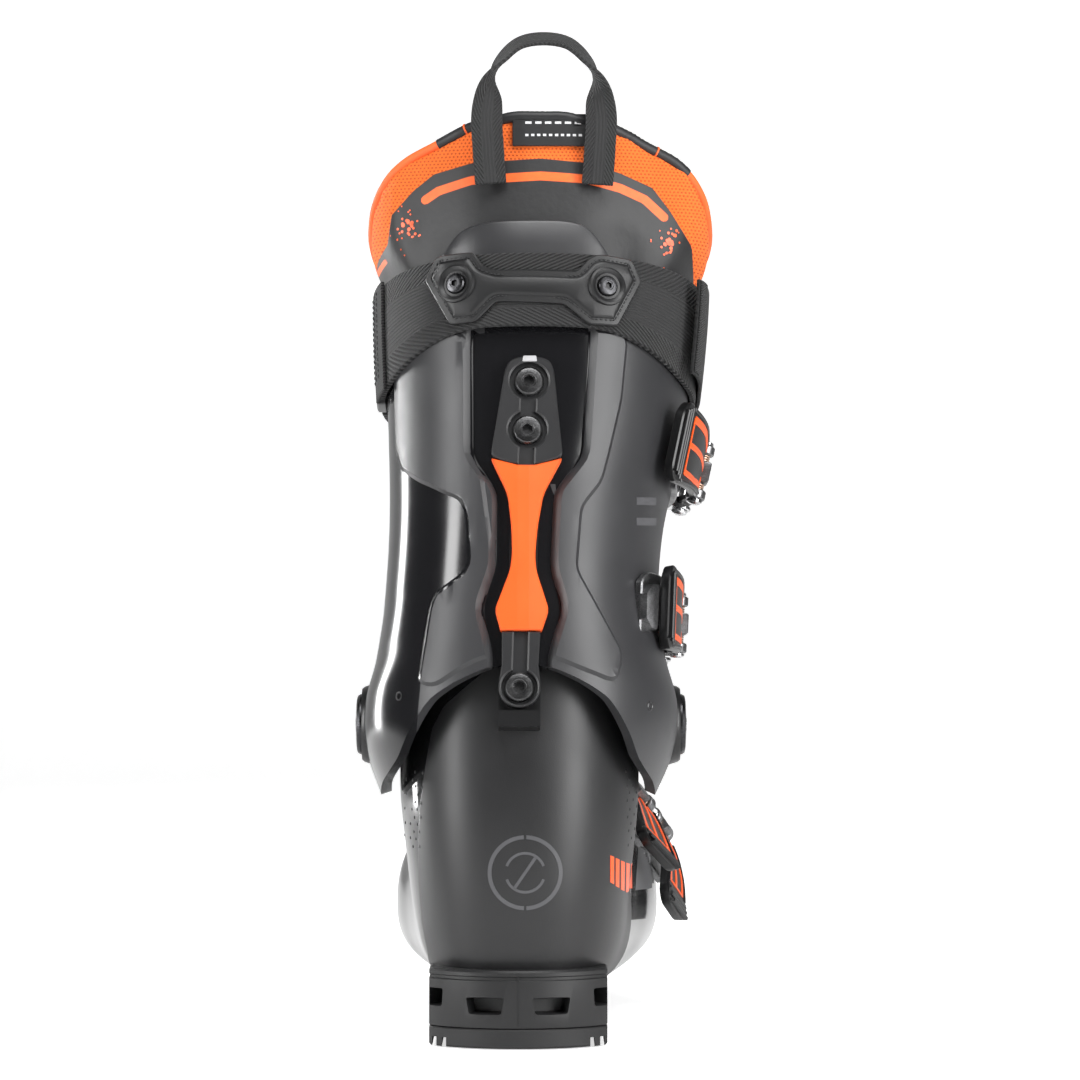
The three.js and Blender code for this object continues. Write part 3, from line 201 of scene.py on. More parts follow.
# %% Skin of the foot part
stations = [
    (0.052, 168, 0.37, 150, 41, 42),
    (0.03, 146, 0.406, 138, 44, 44.5),
    (0.016, 114, 0.45, 127, 46.5, 47),
    (0.006, 80, 0.49, 119, 47, 47.5),
    (0.012, 48, 0.526, 114, 45, 46),
    (0.04, 21, 0.558, 109, 43, 44),
    (0.125, 13, 0.592, 104, 42, 45),
    (0.27, 13, 0.63, 99, 43, 49),
    (0.43, 13, 0.676, 93, 46.5, 54),
    (0.58, 13, 0.73, 87, 51, 57),
    (0.71, 13, 0.795, 80, 52, 57.5),
    (0.83, 14, 0.866, 71, 47, 50),
    (0.92, 17, 0.932, 58, 36, 37),
    (0.965, 23, 0.968, 44, 22, 22),
]
FOOT_SQUARENESS = 2.5


@functools.lru_cache(maxsize=None)
def station(share, inset):
    """The sole point, the instep point and the half widths at a share of the way from the collar to the toe."""

    def line(first, where):
        y = through([one[first] for one in stations], where)
        return Vector((HEEL_BACK + SOLE_LENGTH * y, through([one[first + 1] for one in stations], where)))

    def inwards(first, side):
        step = (line(first, min(1, share + 0.01)) - line(first, max(0, share - 0.01))).normalized()
        return Vector((-step.y * side, step.x * side))

    sole = line(0, share) + inwards(0, 1) * inset
    instep = line(2, share) + inwards(2, -1) * inset
    inner = through([one[4] for one in stations], share) - inset
    outer = through([one[5] for one in stations], share) - inset
    return sole, instep, inner, outer


def foot_skin(share, angle, inset=0):
    """A point of the foot part's skin. The angle is 0 on the heel and sole line and a half turn on the instep."""
    sole, instep, inner, outer = station(round(share, 5), round(inset, 3))
    c, s = squared(angle, FOOT_SQUARENESS)
    up = ((1 - c) / 2) ** lerp(1, 1.25, smooth(share, 0.4, 0.8))
    return Vector((s * (outer if s > 0 else inner), lerp(sole.x, instep.x, up), lerp(sole.y, instep.y, up)))


# %% Skin of the cuff
cuff_inner = [(-30, 54), (-12, 60.5), (4, 61.5), (20, 58), (40, 55.5), (75, 54.5), (110, 56), (150, 59), (190, 61)]
cuff_outer = [(-30, 54), (-12, 61), (4, 62), (20, 57.5), (40, 53.5), (75, 54.5), (110, 61), (150, 65), (190, 66)]
cuff_front = [(-30, 62), (0, 60), (40, 56), (94, 56), (146, 59), (190, 61)]
CUFF_SQUARENESS = 2.3


@functools.lru_cache(maxsize=None)
def cuff_section(height, sides):
    inner, outer = (cuff_inner, cuff_outer) if sides is None else sides
    return profile(inner, height), profile(outer, height), profile(cuff_front, height)


def middle_at(height):
    """The boot's back leans a little to the outer side as it rises."""
    return 0.6 + 0.03 * height


def cuff_skin(turn, height, out=0, sides=None):
    """A point of the cuff's skin in the upright cuff's own frame. The turn is 0 at the back, in radians."""
    inner, outer, front = cuff_section(round(height, 3), sides)
    c, s = squared(turn, CUFF_SQUARENESS)
    half = (outer if s > 0 else inner) + out
    depth = (CUFF_BACK + front) / 2
    return Vector((middle_at(height) + s * half, depth - CUFF_BACK - c * (depth + out), height))


LEANING = Matrix.Translation(PIVOT) @ Matrix.Rotation(-LEAN, 4, "X")


def leaned(point):
    """From the upright cuff's frame to the boot's."""
    return LEANING @ point


def on_back(x, out, height):
    """The place on the cuff's back that is x to the side of the boot's middle plane."""
    inner, outer, _ = cuff_section(round(height, 3), None)
    share = (x - middle_at(height)) / (outer if x > middle_at(height) else inner)
    turn = math.copysign(math.asin(min(1, abs(share)) ** (CUFF_SQUARENESS / 2)), share)
    return cuff_skin(turn, height, out)


def cuff_height(x, above_ground):
    """The height in the cuff's own frame of a place on its back that is so far above the ground."""
    height = above_ground - PIVOT.z
    for _ in range(5):
        height += above_ground - leaned(on_back(x, 0, height)).z
    return height


print("cuff back at the ankle:", [round(v) for v in leaned(on_back(0, 0, 0))])

# %% [markdown]
# ## The workshop
#
# A piece begins as a bmesh: a flat grid, or an outline with a few corners. Its place on paper is kept in a UV
# map called flat, one unit for each centimetre, so a weave or a row of stitches keeps its scale when the piece
# is wrapped on the boot.


# %% Tools for making pieces
def flat_grid(columns, rows):
    """A flat grid from (0, 0) to (1, 1)."""
    bm = bmesh.new()
    bmesh.ops.create_grid(bm, x_segments=columns, y_segments=rows, size=0.5)
    bmesh.ops.translate(bm, verts=bm.verts, vec=(0.5, 0.5, 0))
    return bm


def keep_flat(bm, place=lambda co: (co.x, co.z)):
    """Notes every corner's place on paper in the flat map, in centimetres."""
    layer = bm.loops.layers.uv.get("flat") or bm.loops.layers.uv.new("flat")
    for face in bm.faces:
        for loop in face.loops:
            u, v = place(loop.vert.co)
            loop[layer].uv = (u / 10, v / 10)


def wrap(bm, place):
    """Moves every vertex from its place on paper, (x, out, height), onto a skin."""
    for vert in bm.verts:
        vert.co = place(vert.co)
    face_outwards(bm)


def face_outwards(bm):
    """A wrap can turn a block inside out, and a boolean would then cut nothing; this turns it back."""
    if bm.faces and all(edge.is_manifold for edge in bm.edges) and bm.calc_volume(signed=True) < 0:
        bmesh.ops.reverse_faces(bm, faces=bm.faces)


def score(bm, direction, marks):
    """Cuts the mesh across at each mark along a direction, so that it can bend there."""
    normal = Vector(direction)
    for mark in marks:
        bmesh.ops.bisect_plane(
            bm, geom=bm.verts[:] + bm.edges[:] + bm.faces[:], plane_co=normal * mark, plane_no=normal, dist=1e-4
        )


def score_every(bm, direction, step):
    axis = max(range(3), key=lambda k: abs(direction[k]))
    low = min(vert.co[axis] for vert in bm.verts)
    high = max(vert.co[axis] for vert in bm.verts)
    count = int((high - low) / step)
    score(bm, direction, [low + (k + 0.5) * step for k in range(count + 1) if low + (k + 0.5) * step < high - 0.05])


def grown(outline, amount):
    """An outline pushed outwards by an amount; its corners stay corners."""
    count = len(outline)
    area = sum(outline[i][0] * outline[(i + 1) % count][1] - outline[(i + 1) % count][0] * outline[i][1] for i in range(count))
    side = 1 if area > 0 else -1
    moved = []
    for i in range(count):
        here = Vector(outline[i])
        before = (here - Vector(outline[i - 1])).normalized()
        after = (Vector(outline[(i + 1) % count]) - here).normalized()
        normal = Vector((before.y + after.y, -before.x - after.x)) * side
        if normal.length < 1e-6:
            normal = Vector((before.y, -before.x)) * side
        normal.normalize()
        square = Vector((before.y, -before.x)) * side
        moved.append(tuple(here + normal * (amount / max(0.35, normal.dot(square)))))
    return moved


def rounded(outline, radius, steps=4):
    """An outline with each corner rounded off. A radius may be one number or one for each corner."""
    count = len(outline)
    result = []
    for i in range(count):
        here = Vector(outline[i])
        size = radius[i] if isinstance(radius, (list, tuple)) else radius
        to_before = Vector(outline[i - 1]) - here
        to_after = Vector(outline[(i + 1) % count]) - here
        reach = min(size, to_before.length * 0.48, to_after.length * 0.48)
        if reach < 0.05:
            result.append(tuple(here))
            continue
        start = here + to_before.normalized() * reach
        end = here + to_after.normalized() * reach
        for k in range(steps + 1):
            t = k / steps
            result.append(tuple(start.lerp(here, t).lerp(here.lerp(end, t), t)))
    return result


def slab_of(outline, marks):
    """A block raised from an outline on paper. Each mark is (how far the outline is grown, out). The first mark
    is its underside and the last its top face."""
    bm = bmesh.new()
    rings = []
    for growth, out in marks:
        points = grown(outline, growth) if growth else outline
        verts = [bm.verts.new((x, out, z)) for x, z in points]
        rings.append([bm.edges.new((verts[i], verts[(i + 1) % len(verts)])) for i in range(len(verts))])
    for low, high in zip(rings, rings[1:]):
        bmesh.ops.bridge_loops(bm, edges=low + high)
    for ring in (rings[0], rings[-1]):
        bmesh.ops.contextual_create(bm, geom=ring)
    bmesh.ops.recalc_face_normals(bm, faces=bm.faces)
    return bm


def joined(*parts):
    """Several bmeshes in one."""
    whole = bmesh.new()
    for part in parts:
        mesh = bpy.data.meshes.new("part")
        part.to_mesh(mesh)
        part.free()
        whole.from_mesh(mesh)
        bpy.data.meshes.remove(mesh)
    return whole


def lathe(line, centre, axis, steps=48):
    """Turns a line of (radius, distance along the axis) pairs once round an axis."""
    axis = Vector(axis).normalized()
    centre = Vector(centre)
    aside = axis.orthogonal().normalized()
    bm = bmesh.new()
    verts = [bm.verts.new(centre + aside * r + axis * d) for r, d in line]
    edges = [bm.edges.new(pair) for pair in zip(verts, verts[1:])]
    bmesh.ops.spin(
        bm, geom=verts + edges, cent=centre, axis=axis, angle=math.tau, steps=steps, use_merge=True, use_duplicate=False
    )
    bmesh.ops.remove_doubles(bm, verts=bm.verts, dist=1e-4)
    bmesh.ops.recalc_face_normals(bm, faces=bm.faces)
    return bm


def to_object(name, bm, finishes, sharp=34):
    """Writes a bmesh in millimetres as an object in metres, with edges sharper than an angle kept crisp."""
    bmesh.ops.scale(bm, vec=(MM, MM, MM), verts=bm.verts)
    crisp(bm, sharp)
    mesh = bpy.data.meshes.new(name)
    bm.to_mesh(mesh)
    bm.free()
    piece = bpy.data.objects.new(name, mesh)
    scene.collection.objects.link(piece)
    for finish in finishes if isinstance(finishes, (list, tuple)) else [finishes]:
        mesh.materials.append(finish)
    return piece


def crisp(bm, sharp):
    bm.normal_update()
    for face in bm.faces:
        face.smooth = True
    for edge in bm.edges:
        if len(edge.link_faces) == 2:
            edge.smooth = edge.calc_face_angle(0) < math.radians(sharp)


def settle(piece, body, stands_for=()):
    """Lets a finished piece ride on its body, and hides the CAD nodes that it stands for."""
    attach(piece, body)
    if stands_for:
        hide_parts(*stands_for)
    made.append(piece)
    return piece


made = []


def apply_modifiers(piece, sharp=34):
    """Fixes a piece's modifiers into its mesh."""
    bpy.context.view_layer.update()
    seen = piece.evaluated_get(bpy.context.evaluated_depsgraph_get())
    finished = bpy.data.meshes.new_from_object(seen)
    piece.modifiers.clear()
    old = piece.data
    piece.data = finished
    finished.name = piece.name
    bpy.data.meshes.remove(old)
    bm = bmesh.new()
    bm.from_mesh(finished)
    crisp(bm, sharp)
    bm.to_mesh(finished)
    bm.free()


def carve(piece, tools, operation="DIFFERENCE", sharp=34):
    """Cuts the tools out of a piece, or joins them to it. The tools are used up."""
    for tool in tools:
        modifier = piece.modifiers.new("carve", "BOOLEAN")
        modifier.operation = operation
        modifier.solver = "EXACT"
        modifier.object = tool
    apply_modifiers(piece, sharp)
    for tool in tools:
        mesh = tool.data
        bpy.data.objects.remove(tool)
        bpy.data.meshes.remove(mesh)


def soften(piece, width, segments=2, angle=34):
    """Rounds the crisp edges of a piece a little, as moulded and machined edges are."""
    modifier = piece.modifiers.new("soften", "BEVEL")
    modifier.width = width * MM
    modifier.segments = segments
    modifier.limit_method = "ANGLE"
    modifier.angle_limit = math.radians(angle)
    modifier.use_clamp_overlap = True
    modifier.harden_normals = False
    return modifier


print("workshop ready")

# %% [markdown]
# ## Finishes
#
# The boot is made of moulded plastics, rubber, metals and woven stuffs. Effects that several finishes share,
# such as a moulded grain or a woven rib, are node groups that are built once. A group only gives heights,
# masks and values that change over the surface; each finish keeps its own shader.


# %% Wiring helpers
def add_node(tree, kind, links=None, **settings):
    """A node with its settings, and its inputs set to values or linked to other nodes' outputs."""
    node = tree.nodes.new(kind)
    for key, value in settings.items():
        setattr(node, key, value)
    for key, value in (links or {}).items():
        if isinstance(value, bpy.types.NodeSocket):
            tree.links.new(value, node.inputs[key])
        else:
            node.inputs[key].default_value = value
    return node


def calc(tree, operation, *values):
    """A sum on values that change over the surface."""
    return add_node(tree, "ShaderNodeMath", dict(enumerate(values)), operation=operation).outputs[0]


def new_group(name, inputs, outputs):
    group = bpy.data.node_groups.new(name, "ShaderNodeTree")
    for socket, value in inputs.items():
        kind = "NodeSocketVector" if value is None else "NodeSocketFloat"
        made_socket = group.interface.new_socket(name=socket, in_out="INPUT", socket_type=kind)
        if value is not None:
            made_socket.default_value = value
    for socket in outputs:
        group.interface.new_socket(name=socket, in_out="OUTPUT", socket_type="NodeSocketFloat")
    entry = group.nodes.new("NodeGroupInput")
    leave = group.nodes.new("NodeGroupOutput")
    return group, entry.outputs, leave.inputs


def place_group(tree, group, **links):
    node = tree.nodes.new("ShaderNodeGroup")
    node.node_tree = group
    for key, value in links.items():
        key = key.replace("_", " ")
        if isinstance(value, bpy.types.NodeSocket):
            tree.links.new(value, node.inputs[key])
        else:
            node.inputs[key].default_value = value
    return node.outputs


# %% Group: the fine grain of moulded plastic
grain_group, entry, leave = new_group("moulded grain", {"Place": None, "Fineness": 1.0}, ["Height", "Cloud"])
fine = add_node(grain_group, "ShaderNodeTexNoise", {"Vector": entry["Place"], "Detail": 3.0, "Roughness": 0.6})
grain_group.links.new(calc(grain_group, "MULTIPLY", entry["Fineness"], 2600.0), fine.inputs["Scale"])
cloud = add_node(grain_group, "ShaderNodeTexNoise", {"Vector": entry["Place"], "Scale": 28.0, "Detail": 4.0})
grain_group.links.new(fine.outputs["Fac"], leave["Height"])
grain_group.links.new(cloud.outputs["Fac"], leave["Cloud"])

# %% Group: woven webbing, with slanting ribs in its borders and fine rows in its middle
webbing_group, entry, leave = new_group(
    "woven webbing", {"Flat": None, "Low edge": 0.0, "High edge": 3.0, "Border": 0.8, "Ribs": 4.0}, ["Height", "Shade"]
)
split = add_node(webbing_group, "ShaderNodeSeparateXYZ", {"Vector": entry["Flat"]})
along, across = split.outputs["X"], split.outputs["Y"]
from_low = calc(webbing_group, "SUBTRACT", across, entry["Low edge"])
from_high = calc(webbing_group, "SUBTRACT", entry["High edge"], across)
from_edge = calc(webbing_group, "MINIMUM", from_low, from_high)
in_border = calc(webbing_group, "LESS_THAN", from_edge, entry["Border"])
slant = calc(webbing_group, "ADD", along, calc(webbing_group, "MULTIPLY", from_edge, 1.7))
rib = calc(webbing_group, "SINE", calc(webbing_group, "MULTIPLY", slant, calc(webbing_group, "MULTIPLY", entry["Ribs"], math.tau)))
row = calc(webbing_group, "SINE", calc(webbing_group, "MULTIPLY", across, 46.0))
stitch = calc(webbing_group, "SINE", calc(webbing_group, "MULTIPLY", along, 110.0))
middle = calc(webbing_group, "MULTIPLY", row, calc(webbing_group, "MULTIPLY_ADD", stitch, 0.3, 0.7))
yarn = add_node(webbing_group, "ShaderNodeTexNoise", {"Vector": entry["Flat"], "Scale": 30.0, "Detail": 3.0})
ribs_only = calc(webbing_group, "MULTIPLY", rib, in_border)
rows_only = calc(webbing_group, "MULTIPLY", middle, calc(webbing_group, "SUBTRACT", 1.0, in_border))
weave = calc(webbing_group, "ADD", ribs_only, calc(webbing_group, "MULTIPLY", rows_only, 0.45))
height = calc(webbing_group, "ADD", weave, calc(webbing_group, "MULTIPLY", yarn.outputs["Fac"], 0.5))
webbing_group.links.new(height, leave["Height"])
# The Shade output is lighter on the crests of the weave and darker in its grooves: a painted highlight and a painted
# shade.
shade = calc(webbing_group, "MULTIPLY_ADD", weave, 0.35, 0.5)
webbing_group.links.new(shade, leave["Shade"])

# %% Group: knitted mesh, rows of small holes set like a honeycomb
mesh_group, entry, leave = new_group("knitted mesh", {"Flat": None, "Holes": 6.0}, ["Height", "Hole"])
split = add_node(mesh_group, "ShaderNodeSeparateXYZ", {"Vector": entry["Flat"]})
column = calc(mesh_group, "MULTIPLY", split.outputs["X"], entry["Holes"])
line_up = calc(mesh_group, "MULTIPLY", split.outputs["Y"], calc(mesh_group, "MULTIPLY", entry["Holes"], 1.1547))
odd = calc(mesh_group, "MULTIPLY", calc(mesh_group, "FLOORED_MODULO", calc(mesh_group, "FLOOR", line_up), 2.0), 0.5)
u = calc(mesh_group, "SUBTRACT", calc(mesh_group, "FRACT", calc(mesh_group, "ADD", column, odd)), 0.5)
v = calc(mesh_group, "SUBTRACT", calc(mesh_group, "FRACT", line_up), 0.5)
radius = calc(mesh_group, "SQRT", calc(mesh_group, "ADD", calc(mesh_group, "MULTIPLY", u, u), calc(mesh_group, "MULTIPLY", v, v)))
hole = add_node(mesh_group, "ShaderNodeMapRange", {"Value": radius, "From Min": 0.36, "From Max": 0.16}, interpolation_type="SMOOTHSTEP")
thread = calc(mesh_group, "SINE", calc(mesh_group, "MULTIPLY", split.outputs["X"], 190.0))
height = calc(mesh_group, "SUBTRACT", calc(mesh_group, "MULTIPLY", thread, 0.18), hole.outputs["Result"])
mesh_group.links.new(height, leave["Height"])
mesh_group.links.new(hole.outputs["Result"], leave["Hole"])


# %% A finish with its shader
def new_finish(name, color=(0.5, 0.5, 0.5), roughness=0.5, metallic=0.0, **more):
    """A material with the settings that are the same all over it."""
    material = bpy.data.materials.new(name)
    material.use_nodes = True
    tree = material.node_tree
    shader = tree.nodes["Principled BSDF"]
    shader.inputs["Base Color"].default_value = (*color, 1)
    shader.inputs["Roughness"].default_value = roughness
    shader.inputs["Metallic"].default_value = metallic
    for key, value in more.items():
        shader.inputs[key.replace("_", " ").title().replace("Ior", "IOR")].default_value = value
    return material, tree, shader


def bump(tree, shader, height, distance, strength=1.0):
    node = add_node(tree, "ShaderNodeBump", {"Height": height, "Distance": distance * MM, "Strength": strength})
    tree.links.new(node.outputs["Normal"], shader.inputs["Normal"])


def object_place(tree):
    return tree.nodes.new("ShaderNodeTexCoord").outputs["Object"]


def flat_place(tree):
    return add_node(tree, "ShaderNodeUVMap", uv_map="flat").outputs["UV"]


def mixed(tree, share, low, high):
    """A colour between two, by a mask that changes over the surface."""
    node = tree.nodes.new("ShaderNodeMix")
    node.data_type = "RGBA"
    tree.links.new(share, node.inputs["Factor"])
    for socket, value in ((node.inputs[6], low), (node.inputs[7], high)):
        if isinstance(value, bpy.types.NodeSocket):
            tree.links.new(value, socket)
        else:
            socket.default_value = (*value, 1)
    return node.outputs[2]


def ranged(tree, value, from_min, from_max, to_min=0.0, to_max=1.0):
    return add_node(
        tree,
        "ShaderNodeMapRange",
        {"Value": value, "From Min": from_min, "From Max": from_max, "To Min": to_min, "To Max": to_max},
    ).outputs["Result"]


def painted(tree, name, width=0.2):
    """A mask from a distance in millimetres that was noted on the mesh: 1 where it is above zero."""
    distance = add_node(tree, "ShaderNodeAttribute", attribute_name=name).outputs["Fac"]
    return ranged(tree, distance, -width, width)


def plastic(name, color, roughness, grain=0.02, fineness=1.0, **more):
    """A moulded plastic: a fine grain, and a slow change of colour and sheen."""
    material, tree, shader = new_finish(name, color, roughness, **more)
    marks = place_group(tree, grain_group, Place=object_place(tree), Fineness=fineness)
    lighter = tuple(c * 1.18 for c in color)
    darker = tuple(c * 0.85 for c in color)
    tree.links.new(mixed(tree, marks["Cloud"], darker, lighter), shader.inputs["Base Color"])
    tree.links.new(ranged(tree, marks["Cloud"], 0.3, 0.7, roughness * 0.9, roughness * 1.1), shader.inputs["Roughness"])
    bump(tree, shader, marks["Height"], grain)
    return material


# %% [markdown]
# ### Plastics, rubber and metals
#
# The shells are moulded in two tones. The back and the outer side have a soft, grainy satin skin; the inner
# side and the forefoot are polished black. One finish does both: a distance from the parting line is noted on
# the mesh, and the mask made from it changes the colour, the roughness and the grain together.


# %% Two-tone shell plastic
def two_tone(name, matt, polished, matt_roughness, polished_roughness):
    material, tree, shader = new_finish(name, matt, matt_roughness, coat_weight=0.0)
    gloss = painted(tree, "gloss", 0.25)
    marks = place_group(tree, grain_group, Place=object_place(tree), Fineness=0.8)
    low = mixed(tree, marks["Cloud"], tuple(c * 0.88 for c in matt), tuple(c * 1.12 for c in matt))
    tree.links.new(mixed(tree, gloss, low, polished), shader.inputs["Base Color"])
    rough = ranged(tree, marks["Cloud"], 0.3, 0.7, matt_roughness - 0.03, matt_roughness + 0.03)
    still = calc(tree, "MULTIPLY", calc(tree, "SUBTRACT", 1.0, gloss), rough)
    shine = ranged(tree, marks["Cloud"], 0.3, 0.7, polished_roughness * 0.8, polished_roughness * 1.2)
    tree.links.new(calc(tree, "ADD", still, calc(tree, "MULTIPLY", gloss, shine)), shader.inputs["Roughness"])
    bump(tree, shader, calc(tree, "MULTIPLY", marks["Height"], calc(tree, "SUBTRACT", 1.0, gloss)), 0.035)
    return material


shell_plastic = two_tone("shell_plastic", (0.0145, 0.0145, 0.0153), (0.0055, 0.0055, 0.006), 0.42, 0.09)
cuff_plastic = two_tone("cuff_plastic", (0.030, 0.030, 0.032), (0.008, 0.008, 0.009), 0.40, 0.14)
spoiler_plastic = plastic("spoiler_plastic", (0.030, 0.030, 0.032), 0.36, 0.012)
spine_plastic = plastic("spine_plastic", (0.014, 0.014, 0.015), 0.42, 0.03)
black_plastic = plastic("black_plastic", (0.006, 0.006, 0.0065), 0.34, 0.01)
orange_plastic = plastic("orange_plastic", (0.90, 0.105, 0.012), 0.42, 0.012, 1.4)
orange_paint = plastic("orange_paint", (0.92, 0.098, 0.008), 0.36, 0.006, 1.4)
grey_print = plastic("grey_print", (0.075, 0.075, 0.080), 0.4, 0.02)
light_insert = plastic("light_insert", (0.42, 0.42, 0.43), 0.4, 0.01)
sole_rubber = plastic("sole_rubber", (0.010, 0.010, 0.0105), 0.62, 0.05, 0.6)
lug_plastic = plastic("lug_plastic", (0.008, 0.008, 0.0085), 0.46, 0.03)
badge_rubber = plastic("badge_rubber", (0.008, 0.008, 0.0085), 0.44, 0.05, 0.5)
board_plastic = plastic("board_plastic", (0.06, 0.07, 0.08), 0.6, 0.05)
print("plastics ready")


# %% Metals
def metal(name, color, roughness, scratches=0.01):
    """A metal with tumbled scratches that change its sheen."""
    material, tree, shader = new_finish(name, color, roughness, 1.0)
    place = object_place(tree)
    scratch = add_node(tree, "ShaderNodeTexNoise", {"Vector": place, "Scale": 900.0, "Detail": 4.0, "Distortion": 1.5})
    cloud = add_node(tree, "ShaderNodeTexNoise", {"Vector": place, "Scale": 160.0, "Detail": 3.0})
    tree.links.new(ranged(tree, cloud.outputs["Fac"], 0.3, 0.7, roughness * 0.75, roughness * 1.3), shader.inputs["Roughness"])
    shade = ranged(tree, scratch.outputs["Fac"], 0.35, 0.7)
    tree.links.new(mixed(tree, shade, tuple(c * 0.7 for c in color), tuple(min(1, c * 1.25) for c in color)), shader.inputs["Base Color"])
    bump(tree, shader, scratch.outputs["Fac"], scratches)
    return material


bright_steel = metal("bright_steel", (0.78, 0.78, 0.79), 0.22)
satin_grey = metal("satin_grey", (0.24, 0.24, 0.245), 0.38)
black_metal = metal("black_metal", (0.055, 0.055, 0.058), 0.3)
bolt_metal = metal("bolt_metal", (0.12, 0.12, 0.122), 0.34, 0.05)
spring_copper = metal("spring_copper", (0.62, 0.42, 0.32), 0.3)
print("metals ready")

# %% [markdown]
# ### Woven and soft stuffs
#
# Webbing reads the flat map, so its slanting border ribs follow every turn of the strap. The liner's collar is
# one padded piece with three faces: an orange knitted mesh round the top, a black welded film below it and a
# printed orange line on the film. Where each begins was noted on the mesh as a distance.


# %% Webbing
def webbing(name, low, high, border, ribs, see_through=0.0, depth=0.35):
    material, tree, shader = new_finish(name, (0.008, 0.008, 0.009), 0.78, sheen_weight=0.08, sheen_roughness=0.4)
    flat = flat_place(tree)
    marks = place_group(tree, webbing_group, Flat=flat, Low_edge=low, High_edge=high, Border=border, Ribs=ribs)
    # The weave's crests are coloured lighter and its grooves darker: painted highlight and painted shade.
    tree.links.new(mixed(tree, marks["Shade"], (0.0025, 0.0025, 0.0025), (0.026, 0.026, 0.027)), shader.inputs["Base Color"])
    bump(tree, shader, marks["Height"], depth)
    return material


strap_webbing = webbing("strap_webbing", 0.0, 3.6, 0.85, 3.4)
loop_webbing = webbing("loop_webbing", -0.62, 0.62, 0.38, 4.6, depth=0.25)
edge_cord = webbing("edge_cord", -5.0, 5.0, 10.0, 6.0)

# %% Hook-and-loop tab, label and piping
hook_tape, tree, shader = new_finish("hook_tape", (0.006, 0.006, 0.0065), 0.9, sheen_weight=0.06)
dots = add_node(tree, "ShaderNodeTexVoronoi", {"Vector": object_place(tree), "Scale": 900.0})
bump(tree, shader, dots.outputs["Distance"], 0.4)
tree.links.new(ranged(tree, dots.outputs["Distance"], 0.0, 0.8, 0.75, 0.95), shader.inputs["Roughness"])

label_cloth, tree, shader = new_finish("label_cloth", (0.016, 0.016, 0.017), 0.7)
split = add_node(tree, "ShaderNodeSeparateXYZ", {"Vector": flat_place(tree)})
threads = calc(tree, "SINE", calc(tree, "MULTIPLY", split.outputs["Y"], 160.0))
bump(tree, shader, threads, 0.08)
# The colour is lighter on each thread's crest and darker between threads: painted highlight and painted shade.
tree.links.new(mixed(tree, ranged(tree, threads, -1, 1), (0.010, 0.010, 0.011), (0.022, 0.022, 0.023)), shader.inputs["Base Color"])

label_thread, tree, shader = new_finish("label_thread", (0.62, 0.62, 0.63), 0.7)
threads = add_node(tree, "ShaderNodeTexNoise", {"Vector": object_place(tree), "Scale": 1800.0})
bump(tree, shader, threads.outputs["Fac"], 0.1)
tree.links.new(mixed(tree, threads.outputs["Fac"], (0.4, 0.4, 0.41), (0.8, 0.8, 0.81)), shader.inputs["Base Color"])

sewing_thread = plastic("sewing_thread", (0.014, 0.014, 0.015), 0.6, 0.05)
black_piping = plastic("black_piping", (0.011, 0.011, 0.012), 0.52, 0.04, 0.4)
orange_piping = plastic("orange_piping", (0.90, 0.13, 0.02), 0.6, 0.05, 0.4)

# %% Liner collar
liner_collar_stuff, tree, shader = new_finish("liner_collar", (0.02, 0.02, 0.02), 0.6)
flat = flat_place(tree)
knit = place_group(tree, mesh_group, Flat=flat, Holes=6.4)
place = object_place(tree)
fibre = add_node(tree, "ShaderNodeTexNoise", {"Vector": place, "Scale": 420.0, "Detail": 4.0})
# The knit's holes are a darker orange than its threads: a painted shade inside the holes.
orange_knit = mixed(tree, knit["Hole"], (0.95, 0.165, 0.018), (0.56, 0.066, 0.006))
black_film = mixed(tree, fibre.outputs["Fac"], (0.009, 0.009, 0.0095), (0.015, 0.015, 0.016))
orange_line = mixed(tree, fibre.outputs["Fac"], (0.86, 0.10, 0.012), (0.98, 0.16, 0.02))
is_mesh = painted(tree, "mesh_panel", 0.15)
is_line = painted(tree, "printed_line", 0.15)
under = mixed(tree, is_line, black_film, orange_line)
tree.links.new(mixed(tree, is_mesh, under, orange_knit), shader.inputs["Base Color"])
tree.links.new(ranged(tree, is_mesh, 0, 1, 0.5, 0.85), shader.inputs["Roughness"])
mesh_height = calc(tree, "MULTIPLY", knit["Height"], is_mesh)
film_height = calc(tree, "MULTIPLY", fibre.outputs["Fac"], calc(tree, "SUBTRACT", 1.0, is_mesh))
bump(tree, shader, calc(tree, "ADD", mesh_height, calc(tree, "MULTIPLY", film_height, 0.3)), 0.28)

liner_stuff, tree, shader = new_finish("liner_stuff", (0.02, 0.02, 0.021), 0.8, sheen_weight=0.2)
fibre = add_node(tree, "ShaderNodeTexNoise", {"Vector": object_place(tree), "Scale": 700.0, "Detail": 4.0})
tree.links.new(mixed(tree, fibre.outputs["Fac"], (0.012, 0.012, 0.013), (0.035, 0.035, 0.037)), shader.inputs["Base Color"])
bump(tree, shader, fibre.outputs["Fac"], 0.3)
print("finishes:", len(bpy.data.materials))

# %% [markdown]
# ## The cuff
#
# The cuff is a moulded wall that wraps round the leg, its outer flap passing under the inner one at the front.
# It could be sculpted, but a grid whose rows and columns are wrapped on the skin curve keeps the wall even. The
# back gets close columns because that is where panels are pressed in and raised. The panels are separate
# blocks with sloping sides, wrapped on the same skin, that are joined to the wall or cut out of it.

# %% Cuff wall
bottom_edge = [(0, 8), (14, 3), (30, -5), (42, -16), (54, -25), (70, -29), (95, -29), (112, -18), (124, 6), (140, 28), (160, 40), (210, 44)]
top_edge = [(0, 164), (40, 164), (80, 160), (120, 154), (180, 150), (210, 150)]


